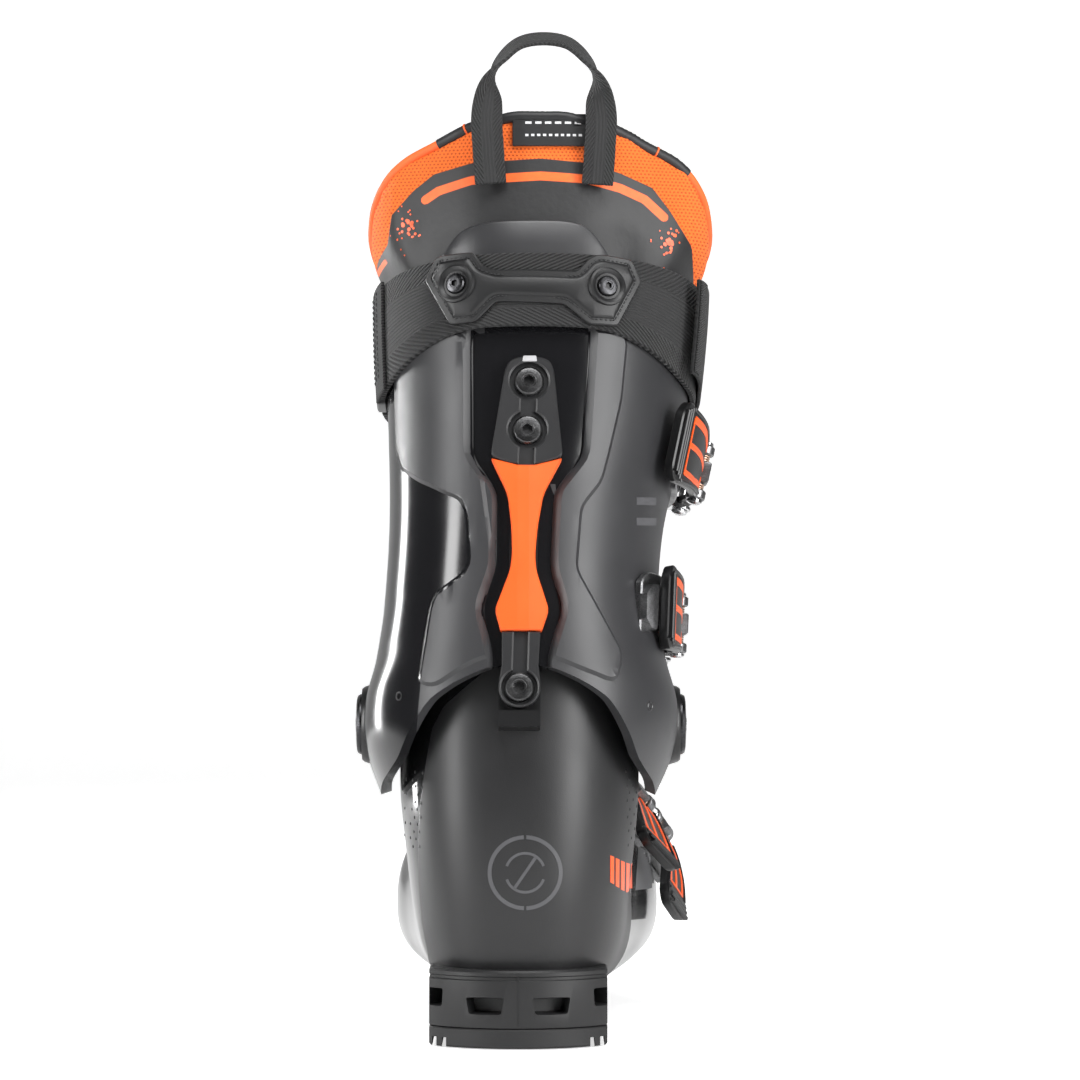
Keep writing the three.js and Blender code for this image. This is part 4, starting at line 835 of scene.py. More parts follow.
def steps_between(*stretches):
    """Positions along a line from (start, end, step) stretches that follow each other."""
    marks = [stretches[0][0]]
    for start, end, step in stretches:
        count = round((end - start) / step)
        marks += [start + (end - start) * (k + 1) / count for k in range(count)]
    return marks


def flap_drop(turn):
    """The outer flap lies under the inner one."""
    return -(CUFF_WALL + FLAP_GAP) * smooth(turn, math.radians(128), math.radians(147))


cuff_turns = steps_between((-208, -64, 3.0), (-64, 64, 1.6), (64, 190, 3.0))
cuff_rows = 84
bm = flat_grid(len(cuff_turns) - 1, cuff_rows)


def onto_cuff(co):
    degrees = cuff_turns[round(co.x * (len(cuff_turns) - 1))]
    away = abs(degrees)
    height = lerp(profile(bottom_edge, away), profile(top_edge, away), co.y)
    turn = math.radians(degrees)
    return leaned(cuff_skin(turn, height, flap_drop(turn)))


wrap(bm, onto_cuff)
bmesh.ops.recalc_face_normals(bm, faces=bm.faces)
if max(bm.faces, key=lambda f: -f.calc_center_median().y).normal.y > 0:
    bmesh.ops.reverse_faces(bm, faces=bm.faces)
bmesh.ops.solidify(bm, geom=bm.faces[:], thickness=CUFF_WALL)
cuff = to_object("cuff_wall", bm, [cuff_plastic], sharp=40)
print("cuff wall:", len(cuff.data.vertices), "vertices")


# %% Panels on the cuff's back
def wrapped_block(outline, marks, step=3.0, rise=12.0):
    """A block with an outline on paper, scored so that it bends, and wrapped on the cuff's back."""
    bm = slab_of(outline, marks)
    score_every(bm, (1, 0, 0), step)
    score_every(bm, (0, 0, 1), rise)
    bmesh.ops.triangulate(bm, faces=[face for face in bm.faces if len(face.verts) > 4])
    wrap(bm, lambda co: leaned(on_back(co.x, co.y, co.z)))
    return bm


def both_sides(pairs):
    """A closed outline round the boot's leaning middle line from (half width, height) pairs, top first."""
    right = [(middle_at(z) + half, z) for half, z in pairs]
    left = [(middle_at(z) - half, z) for half, z in reversed(pairs)]
    return right + left


def from_ground(pairs):
    """Outline points given as (x, height above the ground), as heights in the cuff's own frame."""
    return [(x, cuff_height(x, z)) for x, z in pairs]


outer_panel_line = [(39.1, 250), (34.4, 230), (31.4, 218.5), (23.5, 208.5), (21.5, 184), (39.2, 151.6)]
inner_panel_line = [
    (-48.2, 256), (-47.5, 232), (-45.2, 224), (-38.1, 219), (-27.3, 214), (-21.9, 212), (-19.2, 206), (-18, 187),
    (-20.5, 182), (-31.4, 174), (-33.2, 169), (-37.5, 141),
]
outer_panel = [(26, 139), (41.5, 139)] + from_ground(outer_panel_line) + [(37, 2), (24, 6), (8, 12)]
inner_panel = [(-22, 139), (-45, 139)] + from_ground(inner_panel_line) + [(-32, 0), (-18, 8), (-6, 12)]
panels = [
    to_object("panel_tool", wrapped_block(rounded(outline, 3.5, 3), [(2.0, -2.0), (1.4, 0.0), (0.0, 1.1)]), [])
    for outline in (outer_panel, inner_panel)
]
carve(cuff, panels, "UNION", sharp=24)

recess_floor = [(23.5, 172), (23.5, 136), (21.8, 90), (11.4, 75), (10.8, 45), (15.8, 29), (10.8, 10), (10.8, -20)]
recess = wrapped_block(rounded(both_sides(recess_floor), 4.0, 3), [(0.0, -2.7), (0.4, -1.6), (2.5, 1.3), (3.5, 7.0)], 2.4)
carve(cuff, [to_object("recess_tool", recess, [])], sharp=24)
print("cuff with its panels:", len(cuff.data.vertices), "vertices")

# %% Bosses for the pivots, and the small dimples beside them
PIVOT_PAD_RADIUS = 15


def pivot_reach(side):
    return middle_at(0) + side * profile(cuff_inner if side < 0 else cuff_outer, 0)


rims = []
for side in (-1, 1):
    face = pivot_reach(side)
    rim = lathe(
        [(9.5, -3.5), (12.6, -3.5), (PIVOT_PAD_RADIUS + 1.2, -3.5), (PIVOT_PAD_RADIUS, 0.2), (PIVOT_PAD_RADIUS - 0.8, 1.2),
         (13.4, 1.2), (12.9, 0.2), (9.5, -0.2), (9.5, -3.5)],
        (face, 0, 0), (side, 0, 0), 56,
    )
    wrap(rim, leaned)
    piece = settle(to_object(f"pivot_rim_{'inner' if side < 0 else 'outer'}", rim, black_plastic), "cuff")
print("pivot rims ready")


# %% Parting line between the matt and the polished plastic
def signed_side(line, x, z):
    """How far a point is to the left of a line that runs from the top down, in millimetres."""
    best = None
    for (x0, z0), (x1, z1) in zip(line, line[1:]):
        run, fall = x1 - x0, z1 - z0
        t = min(1, max(0, ((x - x0) * run + (z - z0) * fall) / (run * run + fall * fall)))
        gap = math.hypot(x - x0 - run * t, z - z0 - fall * t)
        if best is None or gap < best[0]:
            best = (gap, (z - z0) * run - (x - x0) * fall)
    return -best[0] if best[1] > 0 else best[0]


def note_distance(piece, name, distance):
    """Notes a distance in millimetres at every vertex, for a mask in the finish."""
    attribute = piece.data.attributes.new(name, "FLOAT", "POINT")
    attribute.data.foreach_set("value", [distance(vert.co / MM) for vert in piece.data.vertices])


cuff_parting = [(-47.5, 330), (-49.5, 256), (-48.4, 232), (-45.7, 224), (-38.1, 219), (-27.3, 214), (-21.9, 212), (-19.2, 206), (-18, 187),
                (-20.5, 182), (-31.4, 174), (-33.2, 169), (-37.5, 141), (-41, 100), (-42, 60)]


def inside_of(outline, x, z):
    """Whether a point lies inside a closed outline."""
    inside = False
    for (x0, z0), (x1, z1) in zip(outline, outline[1:] + outline[:1]):
        if (z0 > z) != (z1 > z) and x < x0 + (z - z0) / (z1 - z0) * (x1 - x0):
            inside = not inside
    return inside


def cuff_gloss_and_recess_shade(co):
    upright = LEANING.inverted() @ co
    # Inside the spine's recess the plastic is polished black: partly its real gloss, and partly a painted shade of the
    # channel.
    if co.y < 0 and inside_of(both_sides(recess_floor), upright.x, upright.z):
        return 3
    if co.y < 60:
        return signed_side(cuff_parting, co.x, co.z)
    return 8 if co.x < 30 else -8


note_distance(cuff, "gloss", cuff_gloss_and_recess_shade)
soften(cuff, 0.45, 2, 38)
settle(cuff, "cuff", ["cuff"])

# %% [markdown]
# ## The lower shell
#
# The foot part is a closed tube at the toe and two overlapping flaps over the instep. It is wrapped from a grid
# in the same way. The heel and toe lugs are standard shapes that a binding grips, so they are drawn from above
# with their true outlines and raised, with windows that lighten the heel lug.

# %% Foot part
foot_rows = steps_between((0, 0.42, 0.0075), (0.42, 1, 0.0125))
FLAP_END = 12 / 19
foot_columns = 150


def foot_lap(share):
    """How far each flap laps past the instep line, in radians."""
    if share >= FLAP_END:
        return 0
    return math.radians(16) * (1 - smooth(share * 19, 4, 9)) - math.radians(0.5)


def under_flap(angle, share):
    """The outer flap passes under the inner one."""
    return (SHELL_WALL + FLAP_GAP) * smooth(angle, math.radians(138), math.radians(160)) * (1 - smooth(share * 19, 9, 12))


bm = flat_grid(foot_columns, len(foot_rows) - 1)


def onto_foot(co):
    share = foot_rows[round(co.y * (len(foot_rows) - 1))]
    reach = math.pi + foot_lap(share)
    angle = lerp(-reach, reach, co.x)
    return foot_skin(share, angle, under_flap(angle, share))


wrap(bm, onto_foot)
bmesh.ops.remove_doubles(bm, verts=[v for v in bm.verts if v.co.y > 90], dist=0.02)
rim_edges = [edge for edge in bm.edges if len(edge.link_faces) == 1 and min(v.co.y for v in edge.verts) > 245]
bmesh.ops.contextual_create(bm, geom=rim_edges)
bmesh.ops.recalc_face_normals(bm, faces=bm.faces)
if min(bm.faces, key=lambda f: f.calc_center_median().y).normal.y > 0:
    bmesh.ops.reverse_faces(bm, faces=bm.faces)
bmesh.ops.solidify(bm, geom=bm.faces[:], thickness=SHELL_WALL - 0.6)
shell = to_object("shell_wall", bm, [shell_plastic], sharp=40)

floor_radius = math.hypot(PIVOT.y - HEEL_BACK, 16) - 7.5
channel_outline = [(-10.4, 166), (10.6, 166), (10.6, 128), (-9.4, 128)]
channel = slab_of(rounded(channel_outline, 1.5, 2), [(0.0, -32.8), (0.0, -30.5), (1.7, -42.5), (1.8, -52)])
drum = lathe([(0, -60), (floor_radius, -60), (floor_radius, 60), (0, 60)], PIVOT, (1, 0, 0), 160)
channel_tool = to_object("channel_tool", channel, [])
carve(channel_tool, [to_object("drum_tool", drum, [])])
carve(shell, [channel_tool], sharp=30)
print("shell wall:", len(shell.data.vertices), "vertices")

# %% Where the shell is polished
heel_parting = [(-8.5, 158), (-10.5, 147), (-20, 139), (-29, 131), (-33.5, 122), (-36, 108), (-38.2, 92), (-39, 76), (-39, 60),
                (-37.8, 46), (-35.5, 34), (-35, 20), (-35, 0)]


def shell_gloss(co):
    behind = signed_side(heel_parting, co.x, co.z)
    if co.x > 0:
        return (co.y - lerp(52, 96, smooth(co.z, 20, 120))) * 0.8
    return behind if co.y < 30 else 10


note_distance(shell, "gloss", shell_gloss)
soften(shell, 0.4, 2, 40)
settle(shell, "shell", ["lower_shell"])


# %% Heel and toe lugs
def arc(centre, radius, start, end, steps=20):
    return [
        (centre[0] + radius * math.cos(math.radians(lerp(start, end, k / steps))),
         centre[1] + radius * math.sin(math.radians(lerp(start, end, k / steps))))
        for k in range(steps + 1)
    ]


HEEL_LUG_LENGTH, HEEL_LUG_RADIUS = 76, 42
TOE_LUG_LENGTH, TOE_LUG_RADIUS = 64, 41
half_sole = SOLE_WIDTH / 2
heel_corner = math.degrees(math.asin(half_sole / HEEL_LUG_RADIUS))
toe_corner = math.degrees(math.asin(half_sole / TOE_LUG_RADIUS))
heel_front = HEEL_BACK + HEEL_LUG_LENGTH
toe_back = TOE_FRONT - TOE_LUG_LENGTH
heel_outline = arc((0, HEEL_BACK + HEEL_LUG_RADIUS), HEEL_LUG_RADIUS, -90 - heel_corner, -90 + heel_corner, 36)
heel_outline += [(half_sole, heel_front), (-half_sole, heel_front)]
toe_outline = arc((0, TOE_FRONT - TOE_LUG_RADIUS), TOE_LUG_RADIUS, 90 - toe_corner, 90 + toe_corner, 32)
toe_outline += [(-half_sole, toe_back), (half_sole, toe_back)]


def standing(outline, marks):
    """A block raised upwards from an outline drawn from above. Each mark is (growth, height)."""
    bm = slab_of([(x, y) for x, y in outline], marks)
    for vert in bm.verts:
        vert.co = Vector((vert.co.x, vert.co.z, vert.co.y))
    bmesh.ops.recalc_face_normals(bm, faces=bm.faces)
    return bm


def lug_window(x, low, high, top_half, bottom_half, depth):
    """A tool for a window through the wall of the heel lug, pointing at the middle of its arc."""
    outline = rounded([(-bottom_half, low), (bottom_half, low), (top_half, high), (-top_half, high)], 0.8, 3)
    bm = slab_of(outline, [(-0.5, -HEEL_LUG_RADIUS + depth), (0.0, -HEEL_LUG_RADIUS + 1.2), (0.9, -HEEL_LUG_RADIUS - 2)])
    turn = Matrix.Rotation(math.asin(x / HEEL_LUG_RADIUS), 4, "Z")
    for vert in bm.verts:
        vert.co = Matrix.Translation((0, HEEL_BACK + HEEL_LUG_RADIUS, 0)) @ turn @ vert.co
    bmesh.ops.recalc_face_normals(bm, faces=bm.faces)
    return to_object("window_tool", bm, [])


heel_lug = to_object(
    "heel_lug",
    standing(heel_outline, [(-0.3, PAD + 0.3), (0.0, PAD + 0.9), (0.0, 26.0), (-0.5, 26.4), (-0.5, 27.4), (0.0, 27.8), (0.0, 29.2), (-0.8, 30.0)]),
    lug_plastic,
)
windows = [lug_window(side * 13, 13.4, 19.4, 7.6, 6.4, 8) for side in (-1, 1)]
windows += [lug_window(side * 32.4, 15.8, 22.2, 4.6, 4.0, 8) for side in (-1, 1)]
carve(heel_lug, windows, sharp=30)
soften(heel_lug, 0.35, 2, 38)
settle(heel_lug, "shell")
mould_line = slab_of([(-0.25, 8.4), (0.25, 8.4), (0.25, 29.4), (-0.25, 29.4)], [(0, -37.5), (0, -38.12)])
settle(to_object("heel_mould_line", mould_line, lug_plastic), "shell")
toe_lug = to_object(
    "toe_lug", standing(toe_outline, [(-0.3, PAD + 0.3), (0.0, PAD + 0.9), (0.0, TOE_LEDGE - 0.8), (-0.8, TOE_LEDGE)]), lug_plastic
)
settle(toe_lug, "shell")
arch = slab_of(
    rounded([(-SOLE_WIDTH * 0.37, heel_front - 3), (SOLE_WIDTH * 0.37, heel_front - 3), (SOLE_WIDTH * 0.37, toe_back + 3), (-SOLE_WIDTH * 0.37, toe_back + 3)], 4),
    [(-1.5, PAD + 3.2), (0, PAD + 4.4), (0, 19)],
)
for vert in arch.verts:
    vert.co = Vector((vert.co.x, vert.co.z, vert.co.y))
bmesh.ops.recalc_face_normals(arch, faces=arch.faces)
settle(to_object("arch_rib", arch, shell_plastic), "shell")


# %% Rubber soles with their tread
def groove(low, high):
    bm = bmesh.new()
    bmesh.ops.create_cube(bm, size=1)
    for vert in bm.verts:
        vert.co = Vector(lerp(low[k], high[k], vert.co[k] + 0.5) for k in range(3))
    return to_object("groove_tool", bm, [])


heel_sole = to_object(
    "heel_sole_rubber", standing(heel_outline, [(-0.9, 0.0), (0.0, 0.9), (0.0, 7.0), (-0.5, 7.5)]), sole_rubber
)
grooves = [
    groove((side * across * half_sole - 0.8, HEEL_BACK - 2, -1), (side * across * half_sole + 0.8, heel_front + 1, 3.6))
    for side in (-1, 1) for across in (0.83, 0.94)
]
grooves += [groove((-40, HEEL_BACK + y, -1), (40, HEEL_BACK + y + 2.4, 2.2)) for y in (22, 33, 44, 55, 66)]
carve(heel_sole, grooves)
soften(heel_sole, 0.3, 1, 38)
settle(heel_sole, "shell", ["heel_sole"])

toe_bm = standing(toe_outline, [(-0.9, 0.0), (0.0, 0.9), (0.0, 7.0), (-0.5, 7.5)])
score(toe_bm, (0, 1, 0), [TOE_FRONT - 46 + k * 5 for k in range(9)])
for vert in toe_bm.verts:
    lift = smooth(vert.co.y, TOE_FRONT - 46, TOE_FRONT + 14) * 7.0
    if vert.co.z < 4:
        vert.co.z += lift
toe_sole = to_object("toe_sole_rubber", toe_bm, sole_rubber)
carve(toe_sole, [groove((-40, toe_back + y, -1), (40, toe_back + y + 2.2, 2.2)) for y in (8, 17)])
settle(toe_sole, "shell", ["toe_sole"])
print("soles ready")

# %% [markdown]
# ## The spine
#
# A plate, an orange bar and a link run down the middle of the back and tie the cuff to the heel. They are flat
# moulded parts, so each is an outline raised in the cuff's own upright frame and then leaned with it. Recesses
# round the bolts are cut with tools whose walls slope, which leaves the fine bright lip of a real moulding.

# %% Spine plates
SPINE_FLOOR = CUFF_BACK - 2.7 + 0.3


def on_spine(outline, marks):
    """A flat block on the spine's plane; each mark is (growth, distance behind the recess floor)."""
    return slab_of(outline, [(growth, -SPINE_FLOOR - off) for growth, off in marks])


def circle(x, z, radius, steps=28):
    return arc((x, z), radius, 0, 360 - 360 / steps, steps - 1)


def spine_tool(outline, depth, top=3.6):
    bm = on_spine(outline, [(0.0, top - depth), (0.0, top - 0.5), (0.75, top + 0.05), (0.8, top + 3)])
    wrap(bm, leaned)
    return to_object("spine_tool", bm, [])


bolt_heights = {"top": 118.5, "middle": 99.0, "lower": -3.0}
bracket_outline = both_sides([(4.5, 128.3), (8.2, 126.6), (9.6, 122.5), (14, 88.4), (4.2, 85.0)])
bracket = on_spine(rounded(bracket_outline, 2.6, 4), [(0.0, 0.0), (0.0, 3.1), (-0.5, 3.6)])
wrap(bracket, leaned)
bracket = to_object("spine_plate", bracket, spine_plastic)
neck = [(middle_at(z) + side * 2.9, z) for side, z in ((-1, 118), (-1, 84), (1, 84), (1, 118))]
carve(bracket, [
    spine_tool(circle(middle_at(118.5), 118.5, 7.6), 1.8),
    spine_tool(circle(middle_at(99), 99, 7.6), 1.8),
    spine_tool(neck, 1.8),
])
settle(bracket, "cuff", ["spine_bracket"])
insert = on_spine(rounded([(middle_at(127) + x, z) for x, z in ((-2.9, 126.3), (2.9, 126.3), (2.5, 128.6), (-2.5, 128.6))], 0.4, 2),
                  [(0.0, 2.2), (0.0, 3.7), (-0.2, 3.85)])
wrap(insert, leaned)
settle(to_object("spine_insert", insert, light_insert), "cuff")

bar_outline = both_sides([(3.4, 84.7), (13.7, 88.0), (13.2, 86.3), (6.9, 73.6), (5.0, 60), (4.4, 49), (5.0, 43), (10.4, 27.6), (7.9, 19.2)])
bar = on_spine(rounded(bar_outline, [1, 0.8, 0.8, 3, 4, 4, 4, 2, 0.6, 0.6, 2, 4, 4, 4, 3, 0.8, 0.8, 1], 3), [(0.0, 0.0), (0.0, 3.7), (-0.45, 4.2)])
score(bar, (1, 0, 0), [-0.3, 4.2])
for vert in bar.verts:
    aside = abs(vert.co.x - middle_at(vert.co.z)) - 2.2
    if vert.co.y < -SPINE_FLOOR - 3:
        vert.co.y += 0.16 * max(0, aside)
wrap(bar, leaned)
settle(to_object("spine_bar_orange", bar, orange_plastic, sharp=3), "cuff", ["spine_bar"])

ear = arc((middle_at(-3), -3), 8, 180, 360, 20)
link_outline = both_sides([(7.4, 18.7), (7.0, 6), (7.9, -1)])
link_outline = link_outline[:3] + list(reversed(ear)) + link_outline[3:]
link = on_spine(rounded(link_outline, 0.5, 2), [(0.0, 0.0), (0.0, 3.1), (-0.5, 3.6)])
wrap(link, leaned)
link = to_object("spine_link_plate", link, spine_plastic)
neck = [(middle_at(z) + side * 2.7, z) for side, z in ((-1, 19.5), (-1, -3), (1, -3), (1, 19.5))]
carve(link, [spine_tool(circle(middle_at(-3), -3, 7.0), 1.8), spine_tool(neck, 1.8)])
settle(link, "cuff", ["spine_link"])
# A thin black strip down the channel under the plates: a painted shadow that makes the recess read dark.
shadow = on_spine(both_sides([(5.5, 121), (5.5, 3)]), [(0, 1.4), (0, 1.7)])
wrap(shadow, leaned)
settle(to_object("spine_painted_shadow", shadow, black_plastic), "cuff")


# %% Bolts
def socket_head(name, centre, axis, radius, height, socket, finish, body, stands_for, sink=0.0, washer=None):
    """A domed bolt head with a hexagon socket, and a shank below it."""
    line = [(0, -3), (radius * 0.5, -3), (radius * 0.5, 0), (radius, 0), (radius, height * 0.35), (radius * 0.97, height * 0.6),
            (radius * 0.84, height * 0.9), (radius * 0.62, height), (socket * 1.32, height), (socket * 1.2, height - 0.25), (0, height - 0.25)]
    head = to_object(name, lathe(line, centre, axis, 56), finish)
    axis = Vector(axis).normalized()
    hexagon = bmesh.new()
    bmesh.ops.create_cone(hexagon, cap_ends=True, segments=6, radius1=socket, radius2=socket, depth=height * 1.6)
    turn = axis.to_track_quat("Z", "Y").to_matrix().to_4x4()
    place = Matrix.Translation(Vector(centre) + axis * (height * 1.0)) @ turn
    bmesh.ops.transform(hexagon, matrix=place, verts=hexagon.verts)
    carve(head, [to_object("hexagon_tool", hexagon, [])])
    return settle(head, body, stands_for)


straight_back = leaned(Vector((0, -1, 0))) - leaned(Vector((0, 0, 0)))
for name, height in bolt_heights.items():
    centre = leaned(Vector((middle_at(height), -SPINE_FLOOR - 1.7, height)))
    socket_head(f"spine_bolt_{name}_head", centre, straight_back, 5.9, 2.6, 2.2, bolt_metal, "cuff", [f"spine_bolt_{name}"])

for side in (-1, 1):
    label = "inner" if side < 0 else "outer"
    face = pivot_reach(side) + side * 0.8
    centre = leaned(Vector((face, 0, 0)))
    out = Vector((side, 0, 0))
    disc = lathe([(0, -8), (7, -8), (7, 0), (12, 0), (12, 1.2), (11.3, 2.2), (9.4, 2.6), (8.9, 1.9), (6.4, 1.9), (5.9, 2.6), (4.6, 2.8), (4.1, 1.6), (0, 1.6)],
                 centre, out, 60)
    settle(to_object(f"pivot_disc_{label}", disc, black_metal), "cuff", [f"cuff_pivot_{label}"])
    socket_head(f"pivot_insert_{label}", centre + out * 1.4, out, 3.7, 1.7, 1.8, bright_steel, "cuff", [])
print("spine and pivots ready")

# %% [markdown]
# ## Rear spoiler
#
# A thin moulded plate stands up between the cuff and the liner and carries the load high on the calf. It is an
# outline wrapped on the same skin, set inside the wall, with its rim rolled over.

# %% Spoiler
spoiler_outline = rounded(
    [(-43, 118), (45, 118), (46, 160), (39, 174), (30, 184.5), (20, 186.2), (-16, 186.2), (-27, 184.5), (-36, 174), (-43, 160)],
    [4, 4, 10, 8, 8, 10, 10, 8, 8, 10], 5,
)
spoiler = slab_of(spoiler_outline, [(-0.9, -9.2), (0.0, -8.6), (0.0, -7.0), (-0.5, -6.2), (-1.4, -5.9)])
score_every(spoiler, (1, 0, 0), 3)
score_every(spoiler, (0, 0, 1), 9)
bmesh.ops.triangulate(spoiler, faces=[face for face in spoiler.faces if len(face.verts) > 4])
wrap(spoiler, lambda co: leaned(on_back(co.x, co.y, co.z)))
settle(to_object("spoiler_plate", spoiler, spoiler_plastic), "cuff", ["rear_spoiler"])

# %% [markdown]
# ## The padded liner
#
# The liner is foam sewn between a lining and a shell, and its collar swells out above the cuff. A grid wrapped
# on its skin gives the wall; the wall is remeshed evenly and blown up a little by a cloth simulation, so that
# it bulges like foam held between seams. The stuff's panels are then noted on it, and piping is sewn round its
# rim afterwards, because a remesh would wipe out anything narrower than its cells.

# %% Skin of the liner
LINER_WALL = 7
liner_inner = tuple(cuff_inner[:8]) + ((168, 59.9), (184, 69.5), (200, 73.4), (240, 71))
liner_outer = tuple(cuff_outer[:8]) + ((168, 65.5), (184, 74.5), (200, 77.2), (240, 74))
collar_edge = [(0, 234), (15, 233.4), (30, 231), (42, 227.5), (52, 222.8), (62, 216.5), (72, 209.8), (82, 203.8), (95, 198), (110, 193), (150, 188)]


def back_swell(turn):
    return 1.2 * (1 - smooth(abs(turn), math.radians(18), math.radians(36)))


def liner_held_in(turn, height):
    """How far the liner lies inside the cuff's skin."""
    angle = abs(turn)
    behind_spoiler = 1 - smooth(angle, math.radians(46), math.radians(60))
    under_flaps = smooth(angle, math.radians(118), math.radians(140))
    spoiler_room = 4.2 * behind_spoiler * smooth(height, 84, 112)
    return CUFF_WALL + 0.66 + back_swell(turn) + spoiler_room + (CUFF_WALL + FLAP_GAP) * under_flaps


def liner_skin(turn, height, out=0):
    away = out - liner_held_in(turn, height)
    straight = cuff_skin(turn, height, away)
    swollen = cuff_skin(turn, height, away, (liner_inner, liner_outer))
    return straight.lerp(swollen, smooth(abs(turn), math.radians(30), math.radians(62)))


def pad_up(piece, voxel, cap, frames=20, pressure=4.0, hold=lambda co: 0.0):
    """Blows a closed wall up like stuffed cloth. hold gives 1 where it is held still and 0 where it is free."""
    remesh = piece.modifiers.new("even", "REMESH")
    remesh.mode = "VOXEL"
    remesh.voxel_size = voxel * MM
    apply_modifiers(piece, 180)
    start = [vert.co.copy() for vert in piece.data.vertices]
    held = piece.vertex_groups.new(name="held")
    for vert in piece.data.vertices:
        held.add([vert.index], hold(vert.co / MM), "REPLACE")
    cloth = piece.modifiers.new("cloth", "CLOTH")
    cloth.settings.quality = 5
    cloth.settings.mass = 0.3
    cloth.settings.use_pressure = True
    cloth.settings.uniform_pressure_force = pressure
    cloth.settings.effector_weights.gravity = 0
    cloth.settings.vertex_group_mass = "held"
    cloth.settings.tension_stiffness = 15
    cloth.settings.compression_stiffness = 15
    cloth.settings.bending_stiffness = 0.5
    cloth.point_cache.frame_start, cloth.point_cache.frame_end = 1, frames
    for frame_number in range(1, frames + 1):
        scene.frame_set(frame_number)
    bpy.context.view_layer.update()
    blown = piece.evaluated_get(bpy.context.evaluated_depsgraph_get()).data
    for index, vert in enumerate(piece.data.vertices):
        move = blown.vertices[index].co - start[index]
        if move.length > cap * MM:
            move = move.normalized() * cap * MM
        vert.co = start[index] + move
    piece.modifiers.clear()
    piece.vertex_groups.clear()
    scene.frame_set(1)
    bm = bmesh.new()
    bm.from_mesh(piece.data)
    for _ in range(3):
        bmesh.ops.smooth_vert(bm, verts=bm.verts, factor=0.5, use_axis_x=True, use_axis_y=True, use_axis_z=True)
    bm.to_mesh(piece.data)
    bm.free()
    extra = piece.modifiers.new("finer", "SUBSURF")
    extra.levels = extra.render_levels = 1
    apply_modifiers(piece, 180)
    return piece


# %% Collar and shaft of the liner
liner_turns = steps_between((-146, 146, 3.65))
bm = flat_grid(len(liner_turns) - 1, 46)


def onto_liner(co):
    turn = math.radians(liner_turns[round(co.x * (len(liner_turns) - 1))])
    top = profile(collar_edge, abs(math.degrees(turn))) - 1.5
    return leaned(liner_skin(turn, lerp(55, top, co.y), -0.8))


wrap(bm, onto_liner)
if max(bm.faces, key=lambda f: -f.calc_center_median().y).normal.y > 0:
    bmesh.ops.reverse_faces(bm, faces=bm.faces)
bm.normal_update()
if max(bm.faces, key=lambda f: -f.calc_center_median().y).normal.y > 0:
    bmesh.ops.reverse_faces(bm, faces=bm.faces)
bmesh.ops.solidify(bm, geom=bm.faces[:], thickness=LINER_WALL - 1.6)
liner = to_object("liner_collar", bm, [liner_collar_stuff])


def held_by_cuff(co):
    """The liner is held still inside the cuff and is free above it."""
    upright = LEANING.inverted() @ co
    return 1.0 - 0.999 * smooth(upright.z, 164, 186)


pad_up(liner, 3.4, 1.6, pressure=3.0, hold=held_by_cuff)
print("liner:", len(liner.data.vertices), "vertices")


# %% Panels of the liner's stuff
def gap_to(line, x, z):
    """The distance from a point to a line of points."""
    best = 1e9
    for (x0, z0), (x1, z1) in zip(line, line[1:]):
        run, rise = x1 - x0, z1 - z0
        t = min(1, max(0, ((x - x0) * run + (z - z0) * rise) / (run * run + rise * rise)))
        best = min(best, math.hypot(x - x0 - run * t, z - z0 - rise * t))
    return best


film_top = [(-60, 296), (-56.8, 307), (-52.4, 313), (-50.7, 324.6), (-42, 334), (-33.7, 340.4), (-18.9, 344.3), (8.7, 345.9),
            (26.4, 344.3), (40.2, 340.4), (53, 335), (60, 326), (69, 312), (71, 289), (71, 270)]
printed_band = [(-37.1, 330.2), (-31.9, 333.6), (-18.9, 337.4), (8.7, 338.9), (26.4, 337.8), (40.2, 334.4), (50, 330.2), (57.6, 323.4)]
left_flash = [(-58.5, 301.5), (-53.5, 306.5)]
right_flash = [(63.5, 300), (66.5, 291)]


def mesh_distance(co):
    if co.y > 78:
        return -9
    return signed_side(film_top, co.x, co.z) * -1


def line_distance(co):
    if co.y > 78:
        return -9
    band = (1.75 - gap_to(printed_band, co.x, co.z))
    flash = 1.0 - min(gap_to(left_flash, co.x, co.z), gap_to(right_flash, co.x, co.z))
    return max(band, flash)


note_distance(liner, "mesh_panel", mesh_distance)
note_distance(liner, "printed_line", line_distance)
liner_bm = bmesh.new()
liner_bm.from_mesh(liner.data)
bmesh.ops.scale(liner_bm, vec=(1 / MM, 1 / MM, 1 / MM), verts=liner_bm.verts)
keep_flat(liner_bm, lambda co: (co.x, co.z))
bmesh.ops.scale(liner_bm, vec=(MM, MM, MM), verts=liner_bm.verts)
liner_bm.to_mesh(liner.data)
liner_bm.free()
settle(liner, "cuff", ["liner_cuff"])

from mathutils.bvhtree import BVHTree
liner_tree = BVHTree.FromObject(liner, bpy.context.evaluated_depsgraph_get())


def behind_liner(x, z):
    """The point of the liner's back that is seen at (x, z), and the way it faces, in millimetres."""
    hit, normal, _, _ = liner_tree.ray_cast(Vector((x * MM, -0.2, z * MM)), Vector((0, 1, 0)))
    if hit is None:
        return Vector((x, 30, z)), Vector((0, -1, 0))
    return hit / MM, normal


